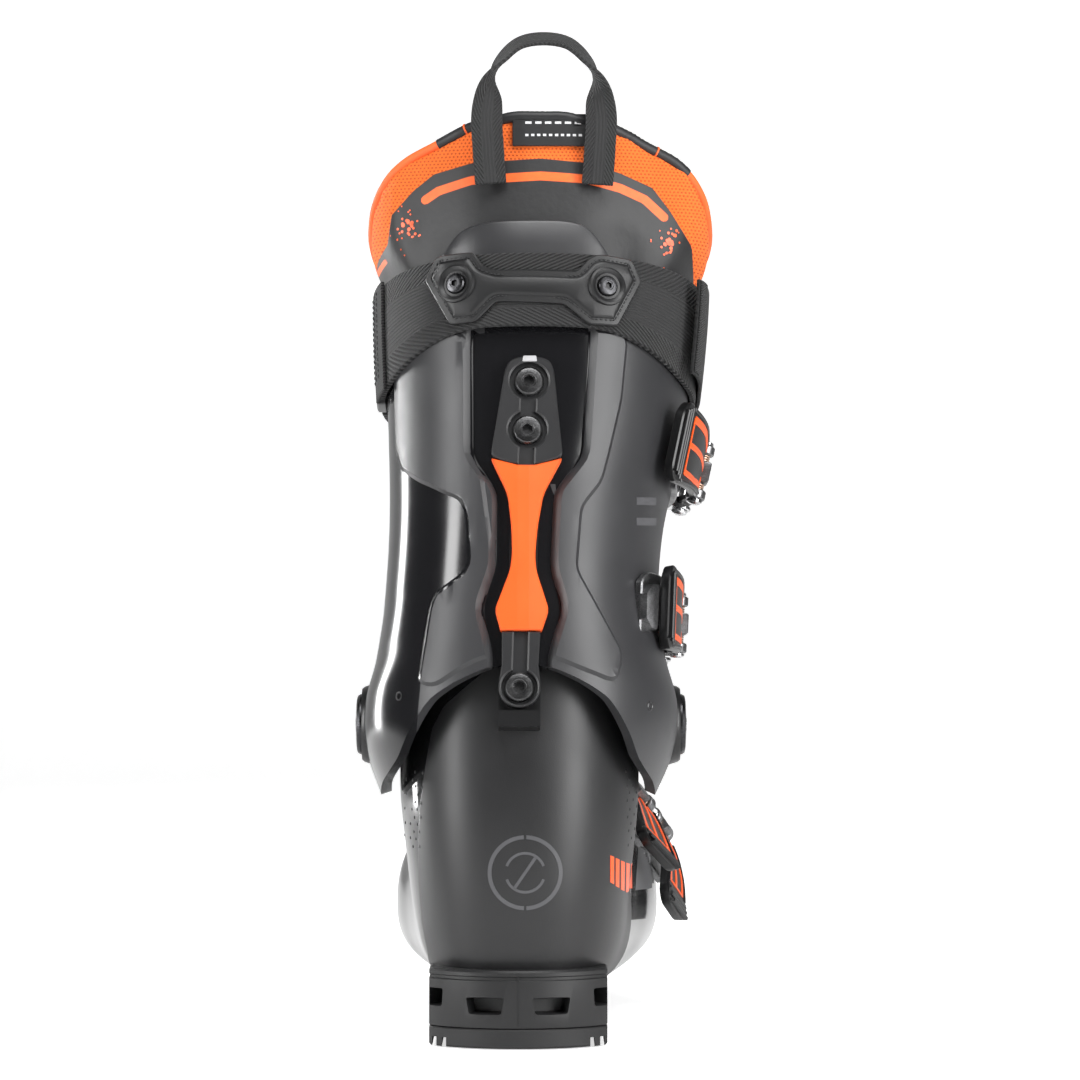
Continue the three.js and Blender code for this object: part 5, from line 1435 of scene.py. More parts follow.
# %% Piping round the collar's rim
def tube(name, points, radius, finish, body, stands_for=(), resolution=6):
    """A round cord sewn or moulded along a line of points, given in millimetres."""
    curve = bpy.data.curves.new(name, "CURVE")
    curve.dimensions = "3D"
    curve.bevel_depth = radius * MM
    curve.bevel_resolution = resolution
    curve.use_fill_caps = True
    spline = curve.splines.new("POLY")
    spline.points.add(len(points) - 1)
    for point, place in zip(spline.points, points):
        point.co = (*(place * MM), 1)
    rope = bpy.data.objects.new(name, curve)
    scene.collection.objects.link(rope)
    mesh = bpy.data.meshes.new_from_object(rope.evaluated_get(bpy.context.evaluated_depsgraph_get()))
    bpy.data.objects.remove(rope)
    bpy.data.curves.remove(curve)
    piece = bpy.data.objects.new(name, mesh)
    mesh.name = name
    mesh.materials.append(finish)
    for polygon in mesh.polygons:
        polygon.use_smooth = True
    scene.collection.objects.link(piece)
    return settle(piece, body, stands_for)


rim_marks = {}
for vert in liner.data.vertices:
    upright = LEANING.inverted() @ (vert.co / MM)
    if upright.z > 150:
        bearing = math.degrees(math.atan2(upright.x - middle_at(upright.z), -(upright.y + 13)))
        rim_marks.setdefault(round(bearing / 2), []).append(upright)


def rim_at(slot):
    """The crest of the pad in one slot of bearings."""
    crest = sorted(rim_marks.get(slot) or rim_marks.get(slot + 1) or rim_marks[slot - 1], key=lambda point: -point.z)[:7]
    return sum(crest, Vector()) / len(crest)


def rim_point(degrees):
    """A smooth line along the pad's crest."""
    slot = degrees / 2
    places = [(rim_at(round(slot + k)), 1 - abs(k) / 5) for k in (-3, -2, -1, 0, 1, 2, 3)]
    total = sum(weight for _, weight in places)
    middle = sum((place * weight for place, weight in places), Vector()) / total
    bearing = math.radians(degrees)
    return leaned(middle + Vector((math.sin(bearing) * 1.6, -math.cos(bearing) * 1.6, 0.4)))


tube("collar_piping_black", [rim_point(-42 + k * 1.0) for k in range(105)], 2.3, black_piping, "cuff")
tube("collar_piping_inner", [rim_point(-136 + k * 2.0) for k in range(48)], 2.0, orange_piping, "cuff")
tube("collar_piping_outer", [rim_point(62 + k * 2.0) for k in range(37)], 2.0, orange_piping, "cuff")
for name, degrees in (("inner", -30), ("outer", 50)):
    here, ahead = rim_point(degrees), rim_point(degrees + 1.2)
    ring = lathe([(2.2, 0), (2.6, 0.1), (2.6, 0.7), (2.2, 0.8)], here, ahead - here, 20)
    settle(to_object(f"piping_stitch_{name}", ring, orange_piping), "cuff")


# %% Printed dots on the film, and the woven label
def printed_dots(name, middle, reach, count, seed):
    """A loose cluster of small printed dots, larger in its middle."""
    dice = random.Random(seed)
    bm = bmesh.new()
    for _ in range(count):
        aside, up = dice.gauss(0, reach[0]), dice.gauss(0, reach[1])
        size = max(0.35, 0.95 - 0.09 * math.hypot(aside, up) + dice.uniform(-0.15, 0.15))
        point, normal = behind_liner(middle[0] + aside, middle[1] + up)
        dot = bmesh.ops.create_circle(bm, cap_ends=True, segments=8, radius=size)["verts"]
        turn = normal.to_track_quat("Z", "Y").to_matrix().to_4x4()
        bmesh.ops.transform(bm, matrix=Matrix.Translation(point + normal * 0.25) @ turn, verts=dot)
    settle(to_object(name, bm, orange_paint), "cuff")


printed_dots("printed_dots_inner", (-44.5, 320), (3.2, 4.6), 34, 4)
printed_dots("printed_dots_outer", (59.5, 314), (3.2, 4.6), 34, 9)


def on_liner(co):
    """Wraps a piece from (x, out, height in the cuff's frame) onto the liner's back."""
    spot = leaned(liner_skin(0.0, co.z, 0))
    point, _ = behind_liner(co.x, spot.z)
    return point + Vector((0, -1, 0.1)) * (co.y + 0.5)


label = slab_of(rounded([(-2.5, 218), (28.5, 218), (28.5, 231.5), (-2.5, 231.5)], 0.4, 2), [(0.0, 0.1), (0.0, 0.9), (-0.2, 1.1)])
score_every(label, (1, 0, 0), 2.5)
score_every(label, (0, 0, 1), 3)
keep_flat(label)
wrap(label, on_liner)
settle(to_object("woven_label", label, label_cloth), "cuff", ["liner_label"])
dashes = []
for line_up, first, length, count in ((227.6, 2.5, 2.6, 6), (222.4, 2.5, 1.4, 10)):
    for k in range(count):
        x = first + k * (23.5 / count)
        dash = slab_of([(x, line_up - 0.55), (x + length, line_up - 0.55), (x + length, line_up + 0.55), (x, line_up + 0.55)],
                       [(0.0, 0.9), (-0.1, 1.3)])
        dashes.append(dash)
dashes = joined(*dashes)
wrap(dashes, on_liner)
settle(to_object("label_pattern", dashes, label_thread), "cuff")

# %% [markdown]
# ## Tongue, power strap and pull loops
#
# Woven straps are too thin for a cloth remesh, so they are modelled straight from flat strips: the strip's
# length and width on paper give the weave its direction, and the strip is wrapped or carried along a curve.

# %% Tongue
tongue_turns = steps_between((151, 209, 2.9))
bm = flat_grid(len(tongue_turns) - 1, 40)


def onto_tongue(co):
    turn = math.radians(tongue_turns[round(co.x * (len(tongue_turns) - 1))])
    top = 222.5 - 14 * abs(math.sin(turn)) ** 1.2
    return leaned(liner_skin(turn, lerp(59, top, co.y), -0.9))


wrap(bm, onto_tongue)
bm.normal_update()
if sum(face.normal.y for face in bm.faces) < 0:
    bmesh.ops.reverse_faces(bm, faces=bm.faces)
bmesh.ops.solidify(bm, geom=bm.faces[:], thickness=7.0)
tongue = pad_up(to_object("tongue_pad", bm, liner_stuff), 3.6, 1.0, frames=8, pressure=2.0)
settle(tongue, "cuff", ["liner_tongue"])


# %% Power strap
def strap_low(turn):
    return lerp(140.5, 128, smooth(math.acos(math.cos(turn)), math.radians(15), math.radians(75)))


def strip_on_cuff(name, turns, low, high, out, thickness, finish, stands_for=(), rows=10, step=2.0, lift=lambda share: 0.0, width=3.6):
    """A flat strip between two turns and two heights, wrapped out of the cuff's skin."""
    marks = steps_between((turns[0], turns[1], step))
    bm = flat_grid(len(marks) - 1, rows)
    run = [0.0]
    for before, after in zip(marks, marks[1:]):
        gap = cuff_skin(math.radians(after), 155, out) - cuff_skin(math.radians(before), 155, out)
        run.append(run[-1] + gap.length)
    keep_flat(bm, lambda co: (run[round(co.x * (len(marks) - 1))], co.y * width * 10))

    def place(co):
        turn = math.radians(marks[round(co.x * (len(marks) - 1))])
        return leaned(cuff_skin(turn, lerp(low(turn), high(turn), co.y), out + lift(co.x)))

    wrap(bm, place)
    bm.normal_update()
    heart = sum((v.co for v in bm.verts), Vector()) / len(bm.verts)
    outward = sum((1 if f.normal.dot(f.calc_center_median() - heart_of(f)) > 0 else -1) for f in bm.faces)
    if outward > 0:
        bmesh.ops.reverse_faces(bm, faces=bm.faces)
    bmesh.ops.solidify(bm, geom=bm.faces[:], thickness=thickness)
    bmesh.ops.recalc_face_normals(bm, faces=bm.faces)
    piece = to_object(name, bm, finish)
    soften(piece, 0.5, 2, 50)
    return settle(piece, "cuff", stands_for), run[-1]


def heart_of(face):
    """The middle of the leg beside a face."""
    upright = LEANING.inverted() @ face.calc_center_median()
    return leaned(Vector((middle_at(upright.z), -13, upright.z)))


strap, strap_length = strip_on_cuff("power_strap_webbing", (-84, 262), strap_low, lambda turn: 170, 0.6, 2.4, strap_webbing, ["power_strap"], 12, 1.6)
print("power strap:", round(strap_length), "mm round the leg")
strip_on_cuff("strap_end_tab", (60, 122), lambda turn: 130, lambda turn: 168.5, 3.4, 1.6, hook_tape, ["strap_tab"], 8, 2.0,
              lift=lambda share: 4.2 * (1 - smooth(share, 0, 0.45)))
strip_on_cuff("strap_tab_edge", (60.5, 66), lambda turn: 130.5, lambda turn: 168, 5.2, 0.8, edge_cord, [], 8, 1.0,
              lift=lambda share: 4.0 * (1 - smooth(share * 0.1, 0, 0.45)))
strip_on_cuff("strap_sewn_end", (-84, -68), lambda turn: strap_low(turn) - 2, lambda turn: 171, 3.1, 1.5, edge_cord, [], 10, 1.6)


# %% Stitches
def stitches(name, places, length, radius, finish, body):
    """Short threads between pairs of places, in millimetres: each a bead with rounded ends."""
    bm = bmesh.new()
    for start, end in places:
        along = (end - start).normalized()
        bead = bmesh.ops.create_icosphere(bm, subdivisions=1, radius=1.0)["verts"]
        turn = along.to_track_quat("Z", "Y").to_matrix().to_4x4()
        size = Matrix.Diagonal((radius, radius, length / 2, 1))
        bmesh.ops.transform(bm, matrix=Matrix.Translation((start + end) / 2) @ turn @ size, verts=bead)
    return settle(to_object(name, bm, finish, sharp=80), body)


def walk(points, pitch, share=0.62):
    """Pairs of places along a line of points, one pair for each stitch."""
    pairs = []
    for a, b in zip(points, points[1:]):
        count = max(1, round((b - a).length / pitch))
        for k in range(count):
            pairs.append((a.lerp(b, (k + 0.5 - share / 2) / count), a.lerp(b, (k + 0.5 + share / 2) / count)))
    return pairs


seam = [leaned(cuff_skin(math.radians(-82.5 + 4.2 * k), lerp(strap_low(0) - 8, 169, j / 8), 4.7)) for k in (0, 1, 2) for j in range(9)]
seams = []
for k in range(3):
    seams += walk(seam[k * 9:k * 9 + 9], 2.4)
stitches("strap_seam_threads", seams, 1.8, 0.42, sewing_thread, "cuff")

# %% Badge of the strap
badge_line = [(-34, 297), (-29.7, 306), (-16.2, 307.4), (-12.7, 302), (-7.8, 300.2), (21.6, 299.6), (26.2, 305), (30, 306.6), (42, 304.6), (45.5, 296),
              (36.6, 278.4), (26.2, 279), (17.2, 287), (-7.8, 288), (-15.2, 280), (-24.7, 279)]


def strap_height(x, above_ground):
    """The cuff height of a place on the strap's outer face that is so far above the ground."""
    height = above_ground - PIVOT.z
    for _ in range(5):
        height += above_ground - leaned(on_back(x, 3.2, height)).z
    return height


badge_outline = rounded([(x, strap_height(x, z)) for x, z in badge_line], 1.6, 3)


def badge_block(marks):
    bm = slab_of(badge_outline, marks)
    score_every(bm, (1, 0, 0), 2.5)
    score_every(bm, (0, 0, 1), 6)
    bmesh.ops.triangulate(bm, faces=[face for face in bm.faces if len(face.verts) > 4])
    wrap(bm, lambda co: leaned(on_back(co.x, co.y, co.z)))
    return bm


badge = badge_block([(0.0, 2.9), (0.0, 4.2), (-0.4, 4.6), (-2.5, 4.6), (-3.1, 5.3), (-3.9, 5.6)])
settle(to_object("strap_badge_rubber", badge, badge_rubber), "cuff", ["strap_badge"])
stitch_line = [leaned(on_back(x, 4.75, z)) for x, z in grown(badge_outline, -2.0)]
stitch_line.append(stitch_line[0])
dense = [stitch_line[0]]
for point in stitch_line[1:]:
    if (point - dense[-1]).length > 1.0:
        dense.append(point)
stitches("badge_stitches", walk(dense, 1.9), 1.5, 0.34, sewing_thread, "cuff")
for label, x, z in (("inner", -21.9, 294.8), ("outer", 32.4, 293.7)):
    height = strap_height(x, z)
    point = leaned(on_back(x, 5.3, height))
    out = (leaned(on_back(x, 8, height)) - leaned(on_back(x, 2, height))).normalized()
    dish = lathe([(4.6, 0.2), (5.0, 0.1), (5.8, 0.9), (6.8, 1.3), (7.6, 1.0), (8.0, -0.2), (7.6, -0.9), (4.6, -0.9), (4.6, 0.2)], point, out, 44)
    settle(to_object(f"badge_dish_{label}", dish, badge_rubber), "cuff")
    socket_head(f"strap_bolt_{label}_head", point - out * 0.3, out, 4.2, 2.0, 1.5, black_metal, "cuff", [f"strap_bolt_{label}"])

# %% Ring that the strap's inner end passes through
def on_ring(co):
    return leaned(cuff_skin(math.radians(-91) + co.x / 62, co.z, co.y))


ring = slab_of(rounded([(-5.6, 127.5), (5.6, 127.5), (5.6, 171), (-5.6, 171)], 2.5, 4), [(-0.5, 0.4), (0.0, 0.9), (0.0, 3.6), (-0.7, 4.3)])
window = slab_of(rounded([(-2.4, 131), (2.4, 131), (2.4, 167.5), (-2.4, 167.5)], 1.5, 4), [(0.0, -3.0), (0.0, 3.6), (0.9, 4.5), (0.9, 8.0)])
for bm in (ring, window):
    score_every(bm, (0, 0, 1), 8)
    wrap(bm, on_ring)
ring = to_object("strap_ring_plastic", ring, black_plastic)
carve(ring, [to_object("ring_tool", window, [])])
settle(ring, "cuff", ["strap_ring"])


# %% Pull loops
def carried_strip(name, points, width, thickness, across, steps, finish, stands_for):
    """A flat webbing carried along a smooth curve through points; across gives the way its width lies."""

    def at(share):
        return Vector(through([point[k] for point in points], share) for k in range(3))

    samples = [at(k / 400) for k in range(401)]
    run = [0.0]
    for a, b in zip(samples, samples[1:]):
        run.append(run[-1] + (b - a).length)

    def share_at(distance):
        k = next((i for i, value in enumerate(run) if value >= distance), 400)
        if k == 0:
            return 0.0
        return (k - 1 + (distance - run[k - 1]) / (run[k] - run[k - 1])) / 400

    shares = [share_at(run[-1] * k / steps) for k in range(steps + 1)]
    bm = flat_grid(steps, 4)
    keep_flat(bm, lambda co: (co.x * run[-1], (co.y - 0.5) * 12.4))

    def place(co):
        k = round(co.x * steps)
        share = shares[k]
        along = (at(min(1, share + 0.004)) - at(max(0, share - 0.004))).normalized()
        side = across(k / steps)
        side = (side - along * side.dot(along)).normalized()
        face = along.cross(side)
        return leaned(at(share) + side * ((co.y - 0.5) * width) - face * (thickness / 2))

    wrap(bm, place)
    bm.normal_update()
    bmesh.ops.solidify(bm, geom=bm.faces[:], thickness=-thickness)
    bmesh.ops.recalc_face_normals(bm, faces=bm.faces)
    piece = to_object(name, bm, finish)
    soften(piece, 0.5, 2, 50)
    return settle(piece, "cuff", stands_for), run[-1]


def loop_point(x, height, out):
    sides = liner_outer if x > middle_at(height) else liner_inner
    share = (x - middle_at(height)) / (profile(sides, height) - liner_held_in(0.2, height))
    turn = math.copysign(math.asin(abs(share) ** (CUFF_SQUARENESS / 2)), share)
    point = liner_skin(turn, height, 2.2 + out)
    return Vector((x, point.y, point.z))


LOOP_MIDDLE, LOOP_HALF, LOOP_FOOT = 10, 21, 202
loop_line = [
    loop_point(LOOP_MIDDLE - LOOP_HALF, LOOP_FOOT, 0.4), loop_point(LOOP_MIDDLE - LOOP_HALF - 1, LOOP_FOOT + 14, 2.6),
    loop_point(LOOP_MIDDLE - LOOP_HALF - 1.5, 231, 3.8), loop_point(LOOP_MIDDLE - LOOP_HALF + 1.5, 248, 2),
    loop_point(LOOP_MIDDLE - 11, 260, -2), loop_point(LOOP_MIDDLE, 263, -3), loop_point(LOOP_MIDDLE + 11, 260, -2),
    loop_point(LOOP_MIDDLE + LOOP_HALF - 1.5, 248, 2), loop_point(LOOP_MIDDLE + LOOP_HALF + 1.5, 231, 3.8),
    loop_point(LOOP_MIDDLE + LOOP_HALF + 1, LOOP_FOOT + 14, 2.6), loop_point(LOOP_MIDDLE + LOOP_HALF, LOOP_FOOT, 0.4),
]


def loop_across(share):
    """The webbing leaves the liner flat, turns edge-on half-way up, and lies tilted at the top."""
    turned = (smooth(share, 0.14, 0.36) + smooth(share, 0.64, 0.86)) * math.pi / 2
    return Vector((math.cos(turned), math.sin(turned) * 0.77, math.sin(turned) * 0.64))


_, loop_length = carried_strip("pull_loop_webbing", loop_line, 12.4, 1.5, loop_across, 140, loop_webbing, ["pull_loop"])


def tongue_face(height, out):
    return liner_skin(math.pi, height, out).y


tongue_line = [Vector((x, tongue_face(min(z, 220), out), z)) for x, z, out in
               ((-2, 190, 2.8), (-2, 202, 4.4), (1, 214, 8), (5, 222, 10), (9, 214, 8), (12, 202, 4), (12, 190, 2.8))]
_, tongue_length = carried_strip("tongue_loop_webbing", tongue_line, 10, 1.5, lambda share: Vector((0.9, 0.5, 0)), 60, loop_webbing, ["tongue_loop"])
print("pull loop", round(loop_length), "mm, tongue loop", round(tongue_length), "mm")

# %% Foot part of the liner
foot_pad = bpy.data.objects.new("liner_foot_pad", bpy.data.objects["liner_foot"].data.copy())
scene.collection.objects.link(foot_pad)
foot_pad.data.materials.clear()
foot_pad.data.materials.append(liner_stuff)
bm = bmesh.new()
bm.from_mesh(foot_pad.data)
bmesh.ops.remove_doubles(bm, verts=bm.verts, dist=1e-6)
bm.to_mesh(foot_pad.data)
bm.free()
even = foot_pad.modifiers.new("even", "REMESH")
even.mode = "VOXEL"
even.voxel_size = 3.0 * MM
apply_modifiers(foot_pad, 180)
settle(foot_pad, "shell", ["liner_foot"])
print("foot pad:", len(foot_pad.data.vertices), "vertices")

# %% [markdown]
# ## Buckles
#
# Each of the four buckles is a riveted base with a hinge pin, a lever, a threaded bail with a hook, and a ladder
# of teeth across the gap. They are built on a path that runs over the skin from the hinge to the ladder: a
# distance along it, a width across it, and a height off the skin. Flat parts are outlines on that paper, raised
# and wrapped, so the same cells make all four.

# %% A path over a skin
def path_over(skin, heart, start, end):
    """Gives the point, the way along and the way out at a distance from the start, and the way to the end."""

    def at(t):
        return lerp(start[0], end[0], t), lerp(start[1], end[1], t)

    marks = [(0.0, 0.0, skin(*at(0)))]
    for step in (0.02, -0.02):
        t, distance, point = marks[-1] if step > 0 else marks[0]
        while abs(t) < 1.8:
            t += step
            ahead = skin(*at(t))
            distance += math.copysign((ahead - point).length, step)
            point = ahead
            if step > 0:
                marks.append((t, distance, point))
            else:
                marks.insert(0, (t, distance, point))

    @functools.lru_cache(maxsize=None)
    def read(distance):
        k = min(len(marks) - 1, max(1, next((i for i, mark in enumerate(marks) if mark[1] > distance), 1)))
        before, after = marks[k - 1], marks[k]
        t = lerp(before[0], after[0], (distance - before[1]) / (after[1] - before[1]))
        u, v = at(t)
        east = skin(u + 0.004, v) - skin(u - 0.004, v)
        north = skin(u, v + 0.02) - skin(u, v - 0.02)
        point = skin(u, v)
        along = (skin(*at(t + 0.01)) - skin(*at(t - 0.01))).normalized()
        out = east.cross(north).normalized()
        if out.dot(point - heart(u, v)) < 0:
            out.negate()
        return point, along, (out - along * out.dot(along)).normalized()

    _, along, out = read(0.0)
    up = out.cross(along).normalized()

    def spot(distance, across, off):
        point, _, away = read(round(distance, 2))
        return point + up * across + away * off

    return spot, up, next(mark[1] for mark in marks if mark[0] >= 1)


HINGE_OFF, TRUNNION_BACK, TRUNNION_OFF = 6.4, 13, 9.6
KNUCKLE_IN, KNUCKLE_OUT, LEVER_THICK = 7.4, 11.3, 3.4


def plate(spot, outline, marks, off=lambda distance: 0.0, step=6):
    """A flat part: an outline of (distance, across), raised and laid on the path."""
    bm = slab_of(outline, marks)
    score_every(bm, (1, 0, 0), step)
    bmesh.ops.triangulate(bm, faces=[face for face in bm.faces if len(face.verts) > 4])
    wrap(bm, lambda co: spot(co.x, co.z, co.y + off(co.x)))
    return bm


def box_of(low, high):
    (d0, a0), (d1, a1) = low, high
    return [(d0, a0), (d1, a0), (d1, a1), (d0, a1)]


def band(points, width):
    """The outline of a painted band along a line of (distance, across) points."""
    sides = ([], [])
    for k, (d, a) in enumerate(points):
        before, after = points[max(0, k - 1)], points[min(len(points) - 1, k + 1)]
        run = Vector((after[0] - before[0], after[1] - before[1])).normalized() * (width / 2)
        sides[0].append((d - run.y, a + run.x))
        sides[1].append((d + run.y, a - run.x))
    return sides[0] + sides[1][::-1]


def coil(name, start, end, radius, wire, turns, finish, body):
    """A small spring wound between two points."""
    axis = (end - start).normalized()
    aside = axis.orthogonal().normalized()
    other = axis.cross(aside)
    count = turns * 14
    line = []
    for k in range(count + 1):
        angle = math.tau * k / 14
        line.append(start.lerp(end, k / count) + (aside * math.cos(angle) + other * math.sin(angle)) * radius)
    return tube(name, line, wire, finish, body, resolution=2)


# %% Making one buckle
def buckle(name, body, path, length, half, tip_off, tail, leaning_too):
    spot_flat, up_flat, hook = path
    spot = (lambda d, a, o: leaned(spot_flat(d, a, o))) if leaning_too else spot_flat
    across = (leaned(up_flat) - leaned(Vector((0, 0, 0)))) if leaning_too else up_flat
    lever_body, bail_body, node = f"{name}_lever", f"{name}_bail", f"{name}_buckle"
    back = -TRUNNION_BACK
    tip = -length - TRUNNION_BACK

    def turned(distance, off, line, steps=32):
        return lathe(line, spot(distance, 0, off), across, steps)

    # Base plate with two ears and, on the long base, a raised tail block.
    base = rounded([(-tail, -10.5), (-tail + 6, -14), (7, -14), (7, 14), (-tail + 6, 14), (-tail, 10.5)], 2, 3)
    parts = [plate(spot, base, [(0, -0.8), (0, 1.6), (-0.6, 2.2)])]
    if tail > length + TRUNNION_BACK:
        parts.append(plate(spot, [(-tail, -5), (-tail + 5, -9), (-tail + 11, -9), (-tail + 11, 9), (-tail + 5, 9), (-tail, 5)],
                           [(0, 1.6), (-0.4, 4.6), (-2.0, 5.4)]))
    settle(to_object(f"{node}_base_plate", joined(*parts), satin_grey), body, [f"{node}_base"])
    ears = []
    for side in (-1, 1):
        ear = [(0.0, 12.0 * side), (4.2, 12.0 * side), (4.4, 12.4 * side), (4.4, 13.2 * side), (4.0, 13.6 * side), (0.0, 13.6 * side)]
        ears.append(turned(0, HINGE_OFF, ear))
        ears.append(plate(spot, box_of((-4.2, min(12.0 * side, 13.6 * side)), (4.2, max(12.0 * side, 13.6 * side))), [(0, 1.6), (0, HINGE_OFF)]))
    settle(to_object(f"{node}_ears", joined(*ears), bright_steel), body)
    head = [(3.2, 13.9), (3.2, 14.5), (2.9, 15.1), (2.1, 15.5), (0, 15.6)]
    pin = [(0, -15.6)] + [(r, -d) for r, d in reversed(head[:-1])] + [(1.6, -13.9), (1.6, 13.9)] + head
    settle(to_object(f"{node}_hinge_pin", turned(0, HINGE_OFF, pin, 40), bright_steel, sharp=50), body, [f"{node}_pin"])

    # Lever: a tapering plate that rises a little towards its tip, with a ridged flange to grip.
    def rise(distance):
        if distance < back - 18:
            return lerp(tip_off, lerp(tip_off, 6.6, 0.7), smooth(distance, tip, back - 18))
        return lerp(lerp(tip_off, 6.6, 0.7), 6.8, min(1, (distance - back + 18) / 18))

    outline = [(tip, -half + 5), (tip + 4, -half), (back - 18, -half + 2.5), (back - 5, -KNUCKLE_OUT), (back + 1, -KNUCKLE_OUT),
               (back + 1, -KNUCKLE_IN), (back - 7, -KNUCKLE_IN + 0.6), (back - 7, KNUCKLE_IN - 0.6), (back + 1, KNUCKLE_IN),
               (back + 1, KNUCKLE_OUT), (back - 5, KNUCKLE_OUT), (back - 18, half - 2.5), (tip + 4, half), (tip, half - 5)]
    outline = rounded(outline, [2, 3, 6, 4, 1, 1, 1.5, 1.5, 1, 1, 4, 6, 3, 2], 3)
    lever = plate(spot, outline, [(-0.5, 0.0), (0, 0.6), (0, LEVER_THICK - 0.7), (-0.6, LEVER_THICK)], rise, 4)
    parts = [lever]
    grip = [(tip - 0.4, -half + 5), (tip + 3.6, -half - 0.3), (tip + 9, -half + 0.8), (tip + 9, half - 0.8), (tip + 3.6, half + 0.3), (tip - 0.4, half - 5)]
    parts.append(plate(spot, rounded(grip, [2, 2, 1.5, 1.5, 2, 2], 2), [(-0.3, 0.2), (0, 0.8), (0, LEVER_THICK + 0.3), (-0.6, LEVER_THICK + 0.8)], rise, 3))
    for k, height in enumerate((2.6, 1.9, 1.3)):
        place = tip + 1.3 + 2.7 * k
        parts.append(plate(spot, box_of((place - 0.8, -half + 3.8 - k), (place + 0.8, half - 3.8 + k)),
                           [(0, LEVER_THICK), (0, LEVER_THICK + height - 0.4), (-0.4, LEVER_THICK + height)], rise))
    for side in (-1, 1):
        edge = [(tip + 9, side * (half - 1.8)), (back - 18, side * (half - 4.2)), (back - 6, side * (KNUCKLE_OUT - 1.2))]
        parts.append(plate(spot, band(edge, 1.4), [(0, LEVER_THICK - 0.5), (0, LEVER_THICK + 0.4), (-0.3, LEVER_THICK + 0.7)], rise, 4))
        low, high = sorted((side * 8.9, side * 11.1))
        arm = [(back - 2, low), (1.5, low), (1.5, high), (back - 2, high)]
        parts.append(plate(spot, arm, [(0, -2.4), (0, 3.2), (-0.4, 3.6)], lambda d: lerp(TRUNNION_OFF - 0.6, HINGE_OFF, (d - back) / TRUNNION_BACK), 3))
        parts.append(turned(0, HINGE_OFF, [(1.8, low), (3.6, low), (3.6, high), (1.8, high), (1.8, low)]))
    settle(to_object(f"{node}_lever_plate", joined(*parts), black_plastic), lever_body, [f"{node}_lever"])

    knuckles = []
    for side in (-1, 1):
        line = [(1.8, 7.4), (3.5, 7.4), (4.0, 7.9), (4.0, 10.8), (3.5, 11.3), (1.8, 11.3), (1.8, 7.4)]
        knuckles.append(turned(back, TRUNNION_OFF, [(r, d * side) for r, d in line], 36))
    settle(to_object(f"{node}_knuckles", joined(*knuckles), satin_grey), lever_body)

    # The painted lines: one beside the flange, and three arms that run from it to the knuckles.
    first, last = tip + 11.2, back - 7.6
    arm_edge = half - 4.8
    lines = [
        band([(first, -arm_edge), (first, arm_edge)], 1.1),
        band([(first, arm_edge - 0.6), (lerp(first, last, 0.55), arm_edge - 1.4), (last, KNUCKLE_OUT - 3.4)], 3.0),
        band([(first, 0.6), (last + 2.5, 0.4)], 2.4),
        band([(first, -arm_edge + 0.9), (lerp(first, last, 0.4), -arm_edge + 0.9), (last - 3, -arm_edge + 3.6), (last, -arm_edge + 7.2)], 2.4),
    ]
    inlay = [plate(spot, line, [(0, LEVER_THICK - 0.3), (0, LEVER_THICK + 0.22), (-0.15, LEVER_THICK + 0.3)], rise, 4) for line in lines]
    settle(to_object(f"{node}_inlay", joined(*inlay), orange_paint), lever_body)

    # Bail: a block on the lever's pin, a threaded stem, a yoke, two rails and the bar that hooks the ladder.
    block = plate(spot, rounded(box_of((back - 4.4, -4.2), (back + 4.4, 4.2)), 0.8, 3),
                  [(-0.6, TRUNNION_OFF - 3.6), (0, TRUNNION_OFF - 3.0), (0, TRUNNION_OFF + 3.2), (-0.6, TRUNNION_OFF + 3.8)])
    settle(to_object(f"{node}_block", block, satin_grey), bail_body)
    pin = [(0, -13.4), (2.2, -13.2), (3.1, -12.6), (3.1, -11.7), (1.6, -11.7), (1.6, 11.7), (3.1, 11.7), (3.1, 12.6), (2.2, 13.2), (0, 13.4)]
    settle(to_object(f"{node}_trunnion", turned(back, TRUNNION_OFF, pin, 36), bright_steel, sharp=50), bail_body)
    for side in (-1, 1):
        start, end = spot(back, side * 4.4, TRUNNION_OFF), spot(back, side * 7.3, TRUNNION_OFF)
        coil(f"{node}_spring_{'low' if side < 0 else 'high'}", start, end, 2.3, 0.45, 3, spring_copper, bail_body)
    stem = [spot(d, 0, o) for d, o in ((back + 3, TRUNNION_OFF + 0.8), (0, 11.0), (8, 9.4), (16, 7.9), (23, 6.9))]
    tube(f"{node}_stem", stem, 2.3, black_metal, bail_body)
    parts = [plate(spot, rounded(box_of((19.5, -10.8), (26, 10.8)), 1.5, 3), [(-0.4, 5.0), (0, 5.4), (0, 7.9), (-0.5, 8.4)])]
    for side in (-1, 1):
        low, high = sorted((side * 8.9, side * 10.8))
        fall = lambda d: lerp(1.6, -1.2, min(1, max(0, (d - 24) / (hook - 24))))
        parts.append(plate(spot, box_of((24, low), (hook + 1.6, high)), [(0, 3.9), (0, 6.0), (-0.3, 6.3)], fall, 5))
    parts.append(turned(hook, 1.8 + 0.7 + 1.5, [(0, -10.8), (1.5, -10.8), (1.5, 10.8), (0, 10.8)], 28))
    settle(to_object(f"{node}_bail_frame", joined(*parts), black_metal), bail_body, [f"{node}_bail"])

